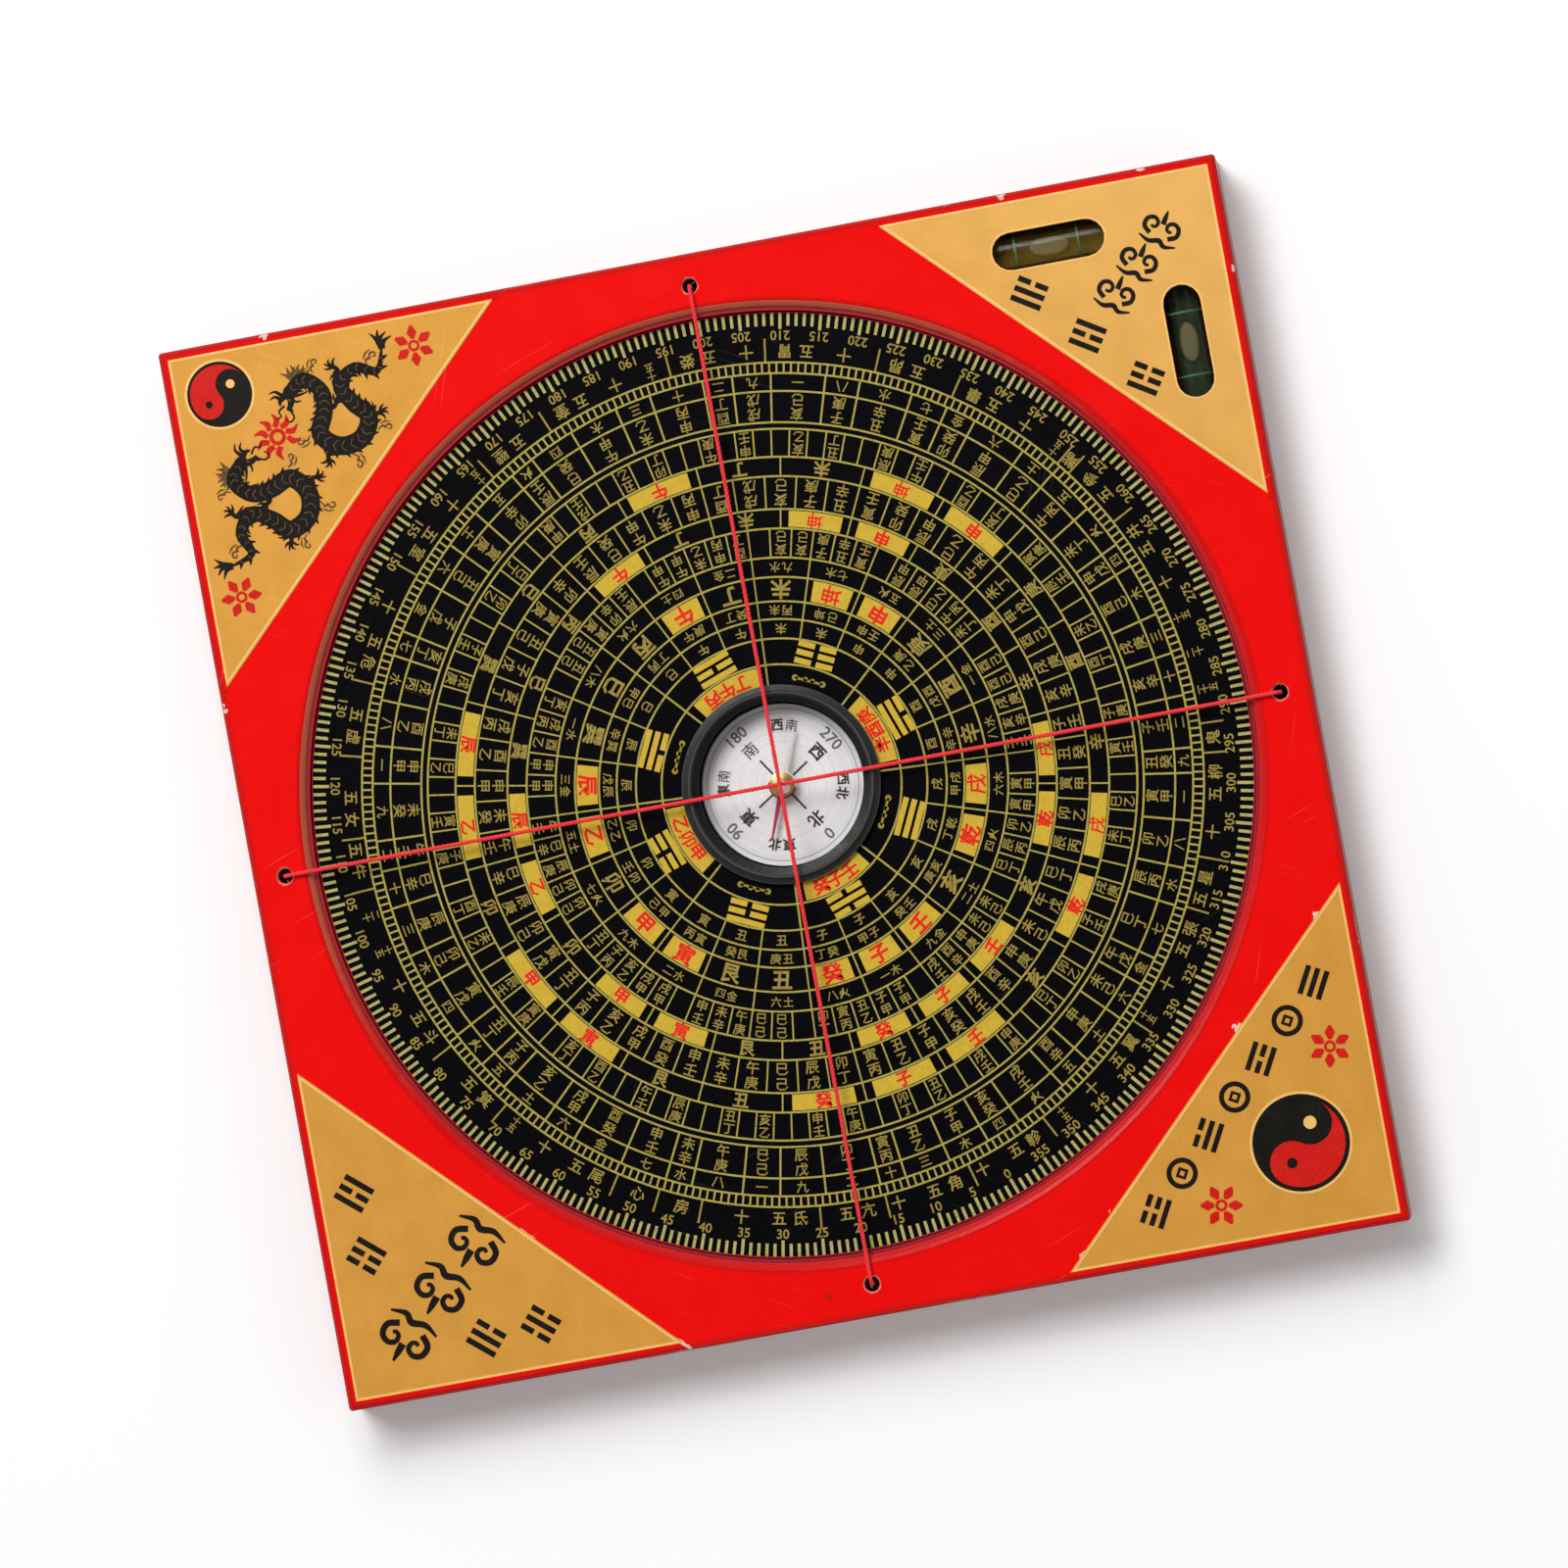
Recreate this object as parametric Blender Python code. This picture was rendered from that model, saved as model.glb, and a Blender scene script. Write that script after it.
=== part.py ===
"""Feng shui compass: a square board with a turning dial, a needle compass, level vials and crossed strings.

All lengths are in metres and +Z is up. The origin lies under the middle of the board, on the surface that
the board rests on. +Y runs from the middle towards the string hole that is called north here, and +X towards
the one called east, so the gold plate with the vial windows is at the north-east corner.
"""

import math

import bmesh
import bpy
from mathutils import Matrix, Vector

# Board, and the margin from the well's rim to the middle of each side
BOARD_SIDE = 0.190
BOARD_MARGIN = 0.0094
BASE_THICKNESS = 0.0050
BOARD_CORNER_RADIUS = 0.0006
BOARD_EDGE_CHAMFER = 0.0004
FINGER_HOLE_RADIUS = 0.0120
FINGER_HOLE_CHAMFER = 0.0006

# Clearances
SEAT_GAP = 0.0003
DIAL_WALL_GAP = 0.0006
CUT_OVERRUN = 0.0010
POINT_GAP = 0.0002
MERGE_DISTANCE = 0.000001

# Dial and its well: the face lies at least this deep under the top of the board
FACE_DEPTH = 0.0020
WELL_RIM_ROUND = 0.0016
DISC_CHAMFER = 0.0005
DISC_POCKET_FLOOR = 0.0012
FACE_THICKNESS = 0.0006
FACE_CHAMFER = 0.0002

# Compass capsule
BEZEL_RADIUS = 0.0176
BEZEL_HEIGHT = 0.0016
BEZEL_FLANGE_WIDTH = 0.0010
BEZEL_FLANGE_HEIGHT = 0.0007
BEZEL_STEP_HEIGHT = 0.0011
BEZEL_RIDGE_WIDTH = 0.0007
BEZEL_RIDGE_ROUND = 0.0002
BEZEL_LIP_WIDTH = 0.0013
BEZEL_LIP_THICKNESS = 0.0009
BEZEL_LIP_SLOPE = 0.0006
BEZEL_SKIRT_WALL = 0.0007
CUP_WALL = 0.0008
CUP_FLOOR = 0.0010
CRYSTAL_THICKNESS = 0.0010
CRYSTAL_DOME = 0.0006
CARD_SIDE_GAP = 0.0005
CARD_THICKNESS = 0.0004

# Needle and pivot
BOSS_RADIUS = 0.0016
BOSS_HEIGHT = 0.0010
PIN_SEAT_FLOOR = 0.0003
PIN_FOOT_RADIUS = 0.0005
PIN_SHAFT_RADIUS = 0.0004
PIN_POINT_LENGTH = 0.0008
JEWEL_RADIUS = 0.0006
JEWEL_THICKNESS = 0.0004
CAP_STEM_WALL = 0.0004
CAP_STEM_HEIGHT = 0.0011
CAP_BOSS_GAP = 0.0007
CAP_RADIUS = 0.0022
CAP_RIM_HEIGHT = 0.0003
CAP_DOME = 0.0004
CAP_HEADROOM = 0.0004
NEEDLE_HALF_LENGTH = 0.0101
NEEDLE_HALF_WIDTH = 0.00045
NEEDLE_TIP_HALF_WIDTH = 0.00015
NEEDLE_THICKNESS = 0.0004
NEEDLE_RING_RADIUS = 0.0025
NEEDLE_BEARING = math.radians(201.0)

# Gold corner plates, and what they cover of the vials at the ends and sides of each window
CORNER_INSET = 0.0011
CORNER_THICKNESS = 0.0006
CORNER_PROUD = 0.0001
CORNER_TIP_RADIUS = 0.0003
WINDOW_END_COVER = 0.0015
WINDOW_SIDE_COVER = 0.0004
WINDOW_END_MARGIN = 0.0101

# Level vials: how far their axes lie from the board's edges, and the space between one's end and the other
VIAL_EDGE_INSET = 0.0103
VIAL_SPACING = 0.0047
TUBE_RADIUS = 0.0037
TUBE_WALL = 0.0008
TUBE_LENGTH = 0.0230
TUBE_END_WALL = 0.0010
PLUG_HEAD = 0.0010
PLUG_STEM = 0.0010
POCKET_CORNER_RADIUS = 0.0006
POCKET_SIDE_GAP = 0.0004
BUBBLE_ROOF_GAP = 0.00035
BUBBLE_HALF_LENGTH = 0.0035
BUBBLE_HALF_WIDTH = 0.0016
BUBBLE_HALF_HEIGHT = 0.00065

# Crossed strings, with their holes' distance from the board's edges
STRING_RADIUS = 0.00045
STRING_HOLE_RADIUS = 0.00135
STRING_HOLE_INSET = 0.0057
STRING_HOLE_CHAMFER = 0.0003
STRING_BEND_RADIUS = 0.0011
KNOT_RADIUS = 0.0021
KNOT_HALF_HEIGHT = 0.00135
KNOT_SIDE_GAP = 0.0005
KNOT_FLOOR_GAP = 0.0004

# Heights in the capsule, stacked from the floor of the disc's pocket up to the bezel
DISC_BOTTOM = BASE_THICKNESS + SEAT_GAP
POCKET_FLOOR = DISC_BOTTOM + DISC_POCKET_FLOOR
CUP_BOTTOM = POCKET_FLOOR + SEAT_GAP
CUP_FLOOR_TOP = CUP_BOTTOM + CUP_FLOOR
PIN_SEAT_BOTTOM = CUP_BOTTOM + PIN_SEAT_FLOOR
CARD_BOTTOM = CUP_FLOOR_TOP + SEAT_GAP
BOSS_TOP = CUP_FLOOR_TOP + BOSS_HEIGHT
CAP_BOTTOM = BOSS_TOP + CAP_BOSS_GAP
CAP_RIM_BOTTOM = CAP_BOTTOM + CAP_STEM_HEIGHT
CAP_RIM_TOP = CAP_RIM_BOTTOM + CAP_RIM_HEIGHT
CAP_TOP = CAP_RIM_TOP + CAP_DOME
NEEDLE_TOP = CAP_RIM_BOTTOM - SEAT_GAP
NEEDLE_BOTTOM = NEEDLE_TOP - NEEDLE_THICKNESS
JEWEL_TOP = CAP_RIM_TOP - SEAT_GAP
JEWEL_BOTTOM = JEWEL_TOP - JEWEL_THICKNESS
PIN_TIP = JEWEL_BOTTOM - POINT_GAP
CRYSTAL_BOTTOM = CAP_TOP + CAP_HEADROOM
CUP_TOP = CRYSTAL_BOTTOM - SEAT_GAP
CRYSTAL_TOP = CRYSTAL_BOTTOM + CRYSTAL_THICKNESS
LIP_BOTTOM = CRYSTAL_TOP + SEAT_GAP
BEZEL_TOP = LIP_BOTTOM + BEZEL_LIP_THICKNESS
BEZEL_BOTTOM = BEZEL_TOP - BEZEL_HEIGHT

# Heights of the dial and the board, which is thick enough for the dial and for the vials under their plate
FACE_TOP = BEZEL_BOTTOM - SEAT_GAP
FACE_BOTTOM = FACE_TOP - FACE_THICKNESS
DISC_TOP = FACE_BOTTOM - SEAT_GAP
FRAME_BOTTOM = BASE_THICKNESS + SEAT_GAP
TUBE_AXIS_HEIGHT = FRAME_BOTTOM + TUBE_RADIUS
VIAL_ROOF = TUBE_AXIS_HEIGHT + TUBE_RADIUS + SEAT_GAP
FRAME_TOP = max(FACE_TOP + FACE_DEPTH, VIAL_ROOF + CORNER_THICKNESS - CORNER_PROUD)
CORNER_TOP = FRAME_TOP + CORNER_PROUD
CORNER_BOTTOM = CORNER_TOP - CORNER_THICKNESS
CORNER_SEAT = CORNER_BOTTOM - SEAT_GAP
STRING_HEIGHT = max(FRAME_TOP, BEZEL_TOP) + SEAT_GAP + STRING_RADIUS
STRING_CROSSING_RISE = STRING_RADIUS + STRING_RADIUS + SEAT_GAP
KNOT_HEIGHT = KNOT_FLOOR_GAP + KNOT_HALF_HEIGHT
KNOT_WELL_DEPTH = KNOT_HEIGHT + KNOT_HALF_HEIGHT + SEAT_GAP

# Radii and reaches that follow from the sizes above
HALF_SIDE = BOARD_SIDE / 2
WELL_RADIUS = HALF_SIDE - BOARD_MARGIN - WELL_RIM_ROUND
DIAL_RADIUS = WELL_RADIUS - DIAL_WALL_GAP
BEZEL_SKIRT_RADIUS = BEZEL_RADIUS - BEZEL_FLANGE_WIDTH
CAPSULE_HOLE_RADIUS = BEZEL_SKIRT_RADIUS + SEAT_GAP
BEZEL_BORE_RADIUS = BEZEL_SKIRT_RADIUS - BEZEL_SKIRT_WALL
WINDOW_RADIUS = BEZEL_BORE_RADIUS - BEZEL_LIP_WIDTH
CUP_RADIUS = BEZEL_BORE_RADIUS - SEAT_GAP
CUP_BORE_RADIUS = CUP_RADIUS - CUP_WALL
CARD_RADIUS = CUP_BORE_RADIUS - CARD_SIDE_GAP
CARD_HOLE_RADIUS = BOSS_RADIUS + SEAT_GAP
PIN_SEAT_RADIUS = PIN_FOOT_RADIUS + SEAT_GAP
CAP_BORE_RADIUS = JEWEL_RADIUS + SEAT_GAP
CAP_STEM_RADIUS = CAP_BORE_RADIUS + CAP_STEM_WALL
NEEDLE_HOLE_RADIUS = CAP_STEM_RADIUS + SEAT_GAP
KNOT_WELL_RADIUS = KNOT_RADIUS + KNOT_SIDE_GAP
STRING_HOLE_REACH = HALF_SIDE - STRING_HOLE_INSET

# The vials, their windows and the corner plates, all alike, that are large enough for them
TUBE_BORE_RADIUS = TUBE_RADIUS - TUBE_WALL
LIQUID_RADIUS = TUBE_BORE_RADIUS - SEAT_GAP
BUBBLE_HEIGHT = TUBE_BORE_RADIUS - BUBBLE_ROOF_GAP - BUBBLE_HALF_HEIGHT
LIQUID_LEVEL = BUBBLE_HEIGHT - BUBBLE_HALF_HEIGHT - SEAT_GAP
VIAL_HALF_LENGTH = TUBE_LENGTH / 2 + SEAT_GAP + PLUG_HEAD
POCKET_LENGTH = 2 * (VIAL_HALF_LENGTH + POCKET_SIDE_GAP)
POCKET_WIDTH = 2 * (TUBE_RADIUS + POCKET_SIDE_GAP)
VIAL_FAR = HALF_SIDE - VIAL_EDGE_INSET
VIAL_NEAR = VIAL_FAR - TUBE_RADIUS - VIAL_SPACING - VIAL_HALF_LENGTH
WINDOW_SLOT_LENGTH = TUBE_LENGTH - 2 * WINDOW_END_COVER
WINDOW_SLOT_WIDTH = 2 * (TUBE_RADIUS - WINDOW_SIDE_COVER)
CORNER_REACH = HALF_SIDE - CORNER_INSET
WINDOW_END_REACH = VIAL_NEAR - WINDOW_SLOT_LENGTH / 2 - WINDOW_END_MARGIN
CORNER_LEG = CORNER_REACH - VIAL_FAR + CORNER_REACH - WINDOW_END_REACH

# How finely round shapes are divided
DIAL_SEGMENTS = 96
CAPSULE_SEGMENTS = 64
HOLE_SEGMENTS = 24
FINGER_HOLE_SEGMENTS = 48
TUBE_SEGMENTS = 32
SMALL_SEGMENTS = 20
BALL_SEGMENTS = 16
BALL_RINGS = 10
ARC_STEPS = 4
RING_STEPS = 14
STRING_BEVEL_RESOLUTION = 2

RED_LACQUER = ("red_lacquer", (0.80, 0.006, 0.006), 0.25, 0.0)
DARK_RED_BOARD = ("dark_red_board", (0.36, 0.010, 0.010), 0.45, 0.0)
GOLD_PLATE = ("gold_plate", (0.72, 0.42, 0.11), 0.38, 0.55)
BLACK_DISC = ("black_disc", (0.012, 0.011, 0.012), 0.45, 0.0)
PRINTED_FACE = ("printed_face", (0.02, 0.018, 0.012), 0.40, 0.0)
BLACK_PLASTIC = ("black_plastic", (0.025, 0.027, 0.028), 0.42, 0.0)
PALE_CARD = ("pale_card", (0.66, 0.64, 0.64), 0.60, 0.0)
CLEAR_ACRYLIC = ("clear_acrylic", (0.92, 0.95, 0.94), 0.05, 0.0)
CLEAR_TUBE = ("clear_tube", (0.90, 0.95, 0.90), 0.05, 0.0)
GREEN_LIQUID = ("green_liquid", (0.20, 0.26, 0.05), 0.05, 0.0)
AIR_BUBBLE = ("air_bubble", (0.85, 0.90, 0.85), 0.05, 0.0)
PLUG_PLASTIC = ("plug_plastic", (0.10, 0.12, 0.05), 0.40, 0.0)
STEEL = ("steel", (0.60, 0.60, 0.62), 0.25, 1.0)
BRASS = ("brass", (0.70, 0.48, 0.18), 0.30, 1.0)
NEEDLE_PAINT = ("needle_paint", (0.45, 0.02, 0.03), 0.40, 0.0)
JEWEL_STONE = ("jewel_stone", (0.75, 0.10, 0.12), 0.10, 0.0)
RED_STRING = ("red_string", (0.75, 0.05, 0.08), 0.70, 0.0)


def clear_scene():
    """Remove every object that the scene holds."""
    for item in list(bpy.data.objects):
        bpy.data.objects.remove(item, do_unlink=True)


def make_material(finish):
    """Return the material of a finish, made once."""
    name, colour, roughness, metallic = finish
    material = bpy.data.materials.get(name)
    if material is None:
        material = bpy.data.materials.new(name)
        material.use_nodes = True
        shader = material.node_tree.nodes["Principled BSDF"]
        shader.inputs["Base Color"].default_value = (*colour, 1.0)
        shader.inputs["Roughness"].default_value = roughness
        shader.inputs["Metallic"].default_value = metallic
        material.diffuse_color = (*colour, 1.0)
    return material


def add_object(name, mesh, finish, parent=None):
    """Link a mesh into the scene under a name, with its finish and its parent."""
    item = bpy.data.objects.new(name, mesh)
    bpy.context.scene.collection.objects.link(item)
    if finish is not None:
        mesh.materials.clear()
        mesh.materials.append(make_material(finish))
    item.parent = parent
    return item


def add_empty(name, location, parent=None):
    """Add an empty that marks a joint's axis and carries what turns or slides on it."""
    empty = bpy.data.objects.new(name, None)
    bpy.context.scene.collection.objects.link(empty)
    empty.location = location
    empty.parent = parent
    return empty


def mesh_from(shape, name, smooth_angle=None):
    """Turn a bmesh into a mesh with its faces pointing out."""
    bmesh.ops.remove_doubles(shape, verts=shape.verts, dist=MERGE_DISTANCE)
    bmesh.ops.recalc_face_normals(shape, faces=shape.faces)
    mesh = bpy.data.meshes.new(name)
    shape.to_mesh(mesh)
    shape.free()
    if smooth_angle is not None:
        mesh.shade_smooth()
        mesh.set_sharp_from_angle(angle=smooth_angle)
    return mesh


def turned_shape(profile, segments, closed):
    """Spin a profile of radius and height round the Z axis.

    A closed profile is a loop that stays off the axis. An open one starts and ends on the axis.
    """
    shape = bmesh.new()
    corners = [shape.verts.new((radius, 0.0, height)) for radius, height in profile]
    edges = [shape.edges.new(pair) for pair in zip(corners, corners[1:])]
    if closed:
        edges.append(shape.edges.new((corners[-1], corners[0])))
    bmesh.ops.spin(
        shape,
        geom=corners + edges,
        cent=(0.0, 0.0, 0.0),
        axis=(0.0, 0.0, 1.0),
        angle=math.tau,
        steps=segments,
        use_merge=True,
    )
    bmesh.ops.remove_doubles(shape, verts=shape.verts, dist=MERGE_DISTANCE)
    return shape


def turned_mesh(name, profile, segments, closed=False):
    """Return a turned mesh, shaded smooth between its sharp edges."""
    return mesh_from(turned_shape(profile, segments, closed), name, math.radians(35.0))


def add_turned(name, profile, segments, finish, parent, closed=False):
    """Add a turned piece, made from its profile."""
    return add_object(name, turned_mesh(name, profile, segments, closed), finish, parent)


def prism_shape(outline, bottom, top):
    """Extrude a flat outline from one height to another."""
    shape = bmesh.new()
    corners = [shape.verts.new((x, y, bottom)) for x, y in outline]
    face = shape.faces.new(corners)
    grown = bmesh.ops.extrude_face_region(shape, geom=[face])
    raised = [item for item in grown["geom"] if isinstance(item, bmesh.types.BMVert)]
    bmesh.ops.translate(shape, verts=raised, vec=(0.0, 0.0, top - bottom))
    return shape


def arc_points(centre, radius, start, end, steps):
    """Return points on an arc, both ends counted."""
    angles = [start + (end - start) * step / steps for step in range(steps + 1)]
    return [(centre[0] + radius * math.cos(a), centre[1] + radius * math.sin(a)) for a in angles]


def rounded_rectangle(length, width, radius):
    """Return the outline of a rectangle with rounded corners, anticlockwise."""
    reach_x = length / 2 - radius
    reach_y = width / 2 - radius
    outline = []
    for quarter, (sign_x, sign_y) in enumerate(((1, 1), (-1, 1), (-1, -1), (1, -1))):
        start = quarter * math.pi / 2
        centre = (sign_x * reach_x, sign_y * reach_y)
        outline += arc_points(centre, radius, start, start + math.pi / 2, ARC_STEPS)
    return outline


def slot_outline(length, width):
    """Return the outline of a slot with round ends, centred on the origin."""
    radius = width / 2
    reach = length / 2 - radius
    steps = ARC_STEPS + ARC_STEPS
    outline = arc_points((reach, 0.0), radius, -math.pi / 2, math.pi / 2, steps)
    outline += arc_points((-reach, 0.0), radius, math.pi / 2, 3 * math.pi / 2, steps)
    return outline


def placed(outline, place, along_y):
    """Shift an outline that lies along X to a place, turned along Y if need be."""
    if along_y:
        outline = [(-y, x) for x, y in outline]
    return [(x + place[0], y + place[1]) for x, y in outline]


def add_cutter(name, mesh, location=(0.0, 0.0, 0.0)):
    """Add a hidden object that only cuts others."""
    cutter = add_object(name, mesh, None)
    cutter.location = location
    cutter.hide_render = True
    cutter.display_type = "WIRE"
    return cutter


def cut(item, cutter):
    """Take a cutter's shape out of an object."""
    modifier = item.modifiers.new("cut_" + cutter.name, "BOOLEAN")
    modifier.operation = "DIFFERENCE"
    modifier.solver = "EXACT"
    modifier.object = cutter


def board_mesh(name, bottom, top):
    """Return a square board with round upright corners and small chamfers above and below."""
    shape = prism_shape(rounded_rectangle(BOARD_SIDE, BOARD_SIDE, BOARD_CORNER_RADIUS), bottom, top)
    flat_edges = [e for e in shape.edges if e.verts[0].co.z == e.verts[1].co.z]
    bmesh.ops.bevel(
        shape,
        geom=flat_edges,
        offset=BOARD_EDGE_CHAMFER,
        offset_type="OFFSET",
        segments=1,
        affect="EDGES",
    )
    return mesh_from(shape, name)


def string_hole_places():
    """Return the middles of the four string holes by the name of their side."""
    return {
        "n": (0.0, STRING_HOLE_REACH),
        "s": (0.0, -STRING_HOLE_REACH),
        "e": (STRING_HOLE_REACH, 0.0),
        "w": (-STRING_HOLE_REACH, 0.0),
    }


def make_base_board(parent):
    """Make the lower board with its finger hole, string holes and knot wells."""
    board = add_object("base_board", board_mesh("base_board", 0.0, BASE_THICKNESS), DARK_RED_BOARD, parent)
    wide = FINGER_HOLE_RADIUS + FINGER_HOLE_CHAMFER
    finger_profile = [
        (0.0, -CUT_OVERRUN),
        (wide, -CUT_OVERRUN),
        (wide, 0.0),
        (FINGER_HOLE_RADIUS, FINGER_HOLE_CHAMFER),
        (FINGER_HOLE_RADIUS, BASE_THICKNESS + CUT_OVERRUN),
        (0.0, BASE_THICKNESS + CUT_OVERRUN),
    ]
    finger_mesh = turned_mesh("cut_finger_hole", finger_profile, FINGER_HOLE_SEGMENTS)
    cut(board, add_cutter("cut_finger_hole", finger_mesh))
    well_profile = [
        (0.0, -CUT_OVERRUN),
        (KNOT_WELL_RADIUS, -CUT_OVERRUN),
        (KNOT_WELL_RADIUS, KNOT_WELL_DEPTH),
        (STRING_HOLE_RADIUS, KNOT_WELL_DEPTH),
        (STRING_HOLE_RADIUS, BASE_THICKNESS + CUT_OVERRUN),
        (0.0, BASE_THICKNESS + CUT_OVERRUN),
    ]
    well_mesh = turned_mesh("cut_knot_well", well_profile, HOLE_SEGMENTS)
    for side, place in string_hole_places().items():
        cut(board, add_cutter("cut_knot_well_" + side, well_mesh, (*place, 0.0)))
    return board


def well_profile():
    """Return the profile of the dial's well, which opens in a rounded rim."""
    middle = (WELL_RADIUS + WELL_RIM_ROUND, FRAME_TOP - WELL_RIM_ROUND)
    rim = arc_points(middle, WELL_RIM_ROUND, math.pi, math.pi / 2, ARC_STEPS)
    top = FRAME_TOP + CUT_OVERRUN
    return [(0.0, FRAME_BOTTOM - CUT_OVERRUN), (WELL_RADIUS, FRAME_BOTTOM - CUT_OVERRUN), *rim,
            (middle[0], top), (0.0, top)]


def corner_outline(leg, inset, tip_radius):
    """Return the triangle at the north-east corner, with small round tips."""
    corner = HALF_SIDE - inset
    tips = ((corner, corner), (corner - leg, corner), (corner, corner - leg))
    shape = bmesh.new()
    points = [shape.verts.new((x, y, 0.0)) for x, y in tips]
    shape.faces.new(points)
    bmesh.ops.bevel(
        shape,
        geom=points,
        offset=tip_radius,
        offset_type="OFFSET",
        segments=2,
        affect="VERTICES",
    )
    shape.faces.ensure_lookup_table()
    outline = [(loop.vert.co.x, loop.vert.co.y) for loop in shape.faces[0].loops]
    shape.free()
    return outline


def turned_outline(outline, quarters):
    """Turn an outline by quarter turns about the middle of the board."""
    turn = Matrix.Rotation(quarters * math.pi / 2, 2)
    return [tuple(turn @ Vector(point)) for point in outline]


def window_places():
    """Return each vial's place and whether it lies along Y."""
    return {"x": ((VIAL_NEAR, VIAL_FAR), False), "y": ((VIAL_FAR, VIAL_NEAR), True)}


def make_frame_plate(parent):
    """Make the upper board with the well, the string holes, the vial pockets and the corner seats."""
    plate = add_object("frame_plate", board_mesh("frame_plate", FRAME_BOTTOM, FRAME_TOP), RED_LACQUER, parent)
    cut(plate, add_cutter("cut_well", turned_mesh("cut_well", well_profile(), DIAL_SEGMENTS)))
    wide = STRING_HOLE_RADIUS + STRING_HOLE_CHAMFER
    hole_profile = [
        (0.0, FRAME_BOTTOM - CUT_OVERRUN),
        (STRING_HOLE_RADIUS, FRAME_BOTTOM - CUT_OVERRUN),
        (STRING_HOLE_RADIUS, FRAME_TOP - STRING_HOLE_CHAMFER),
        (wide, FRAME_TOP),
        (wide, FRAME_TOP + CUT_OVERRUN),
        (0.0, FRAME_TOP + CUT_OVERRUN),
    ]
    hole_mesh = turned_mesh("cut_string_hole", hole_profile, HOLE_SEGMENTS)
    for side, place in string_hole_places().items():
        cut(plate, add_cutter("cut_string_hole_" + side, hole_mesh, (*place, 0.0)))
    seat = corner_outline(CORNER_LEG + SEAT_GAP + SEAT_GAP, CORNER_INSET - SEAT_GAP, CORNER_TIP_RADIUS)
    for quarter in range(4):
        shape = prism_shape(turned_outline(seat, quarter), CORNER_SEAT, FRAME_TOP + CUT_OVERRUN)
        cut(plate, add_cutter(f"cut_corner_seat_{quarter}", mesh_from(shape, f"cut_corner_seat_{quarter}")))
    for name, (place, along_y) in window_places().items():
        outline = placed(rounded_rectangle(POCKET_LENGTH, POCKET_WIDTH, POCKET_CORNER_RADIUS), place, along_y)
        shape = prism_shape(outline, FRAME_BOTTOM - CUT_OVERRUN, FRAME_TOP + CUT_OVERRUN)
        cut(plate, add_cutter("cut_vial_pocket_" + name, mesh_from(shape, "cut_vial_pocket_" + name)))
    return plate


def make_corner_plates(parent):
    """Make the four gold corner plates and cut the vial windows out of the north-east one."""
    outline = corner_outline(CORNER_LEG, CORNER_INSET, CORNER_TIP_RADIUS)
    plates = {}
    for quarter, corner in enumerate(("ne", "nw", "sw", "se")):
        name = "corner_plate_" + corner
        shape = prism_shape(turned_outline(outline, quarter), CORNER_BOTTOM, CORNER_TOP)
        plates[corner] = add_object(name, mesh_from(shape, name), GOLD_PLATE, parent)
    for name, (place, along_y) in window_places().items():
        slot = placed(slot_outline(WINDOW_SLOT_LENGTH, WINDOW_SLOT_WIDTH), place, along_y)
        shape = prism_shape(slot, CORNER_BOTTOM - CUT_OVERRUN, CORNER_TOP + CUT_OVERRUN)
        cut(plates["ne"], add_cutter("cut_window_" + name, mesh_from(shape, "cut_window_" + name)))
    return plates


def lay_along(item, place, along_y):
    """Lay a shape that was turned about Z along X or Y, at the height of the vials."""
    upright_to_x = Matrix.Rotation(math.pi / 2, 4, "Y")
    heading = Matrix.Rotation(math.pi / 2 if along_y else 0.0, 4, "Z")
    item.data.transform(heading @ upright_to_x)
    item.location = (*place, TUBE_AXIS_HEIGHT)


def tube_profile():
    """Return the profile of a vial's tube, closed at its lower end."""
    low = -TUBE_LENGTH / 2
    return [
        (0.0, low),
        (TUBE_RADIUS, low),
        (TUBE_RADIUS, -low),
        (TUBE_BORE_RADIUS, -low),
        (TUBE_BORE_RADIUS, low + TUBE_END_WALL),
        (0.0, low + TUBE_END_WALL),
    ]


def plug_profile():
    """Return the profile of a vial's plug, whose stem enters the tube."""
    face = TUBE_LENGTH / 2 - PLUG_STEM
    seat = TUBE_LENGTH / 2 + SEAT_GAP
    return [
        (0.0, face),
        (LIQUID_RADIUS, face),
        (LIQUID_RADIUS, seat),
        (TUBE_RADIUS, seat),
        (TUBE_RADIUS, seat + PLUG_HEAD),
        (0.0, seat + PLUG_HEAD),
    ]


def liquid_mesh(name, along_y):
    """Return the liquid of a vial, a round bar with a flat top under the bubble."""
    lift = math.asin(LIQUID_LEVEL / LIQUID_RADIUS)
    outline = arc_points((0.0, 0.0), LIQUID_RADIUS, lift, -math.pi - lift, TUBE_SEGMENTS)
    low = -TUBE_LENGTH / 2 + TUBE_END_WALL + SEAT_GAP
    high = TUBE_LENGTH / 2 - PLUG_STEM - SEAT_GAP
    shape = prism_shape(outline, low, high)
    stand_up = Matrix(((0.0, 0.0, 1.0), (1.0, 0.0, 0.0), (0.0, 1.0, 0.0))).to_4x4()
    heading = Matrix.Rotation(math.pi / 2 if along_y else 0.0, 4, "Z")
    bmesh.ops.transform(shape, matrix=heading @ stand_up, verts=shape.verts)
    return mesh_from(shape, name, math.radians(35.0))


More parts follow.
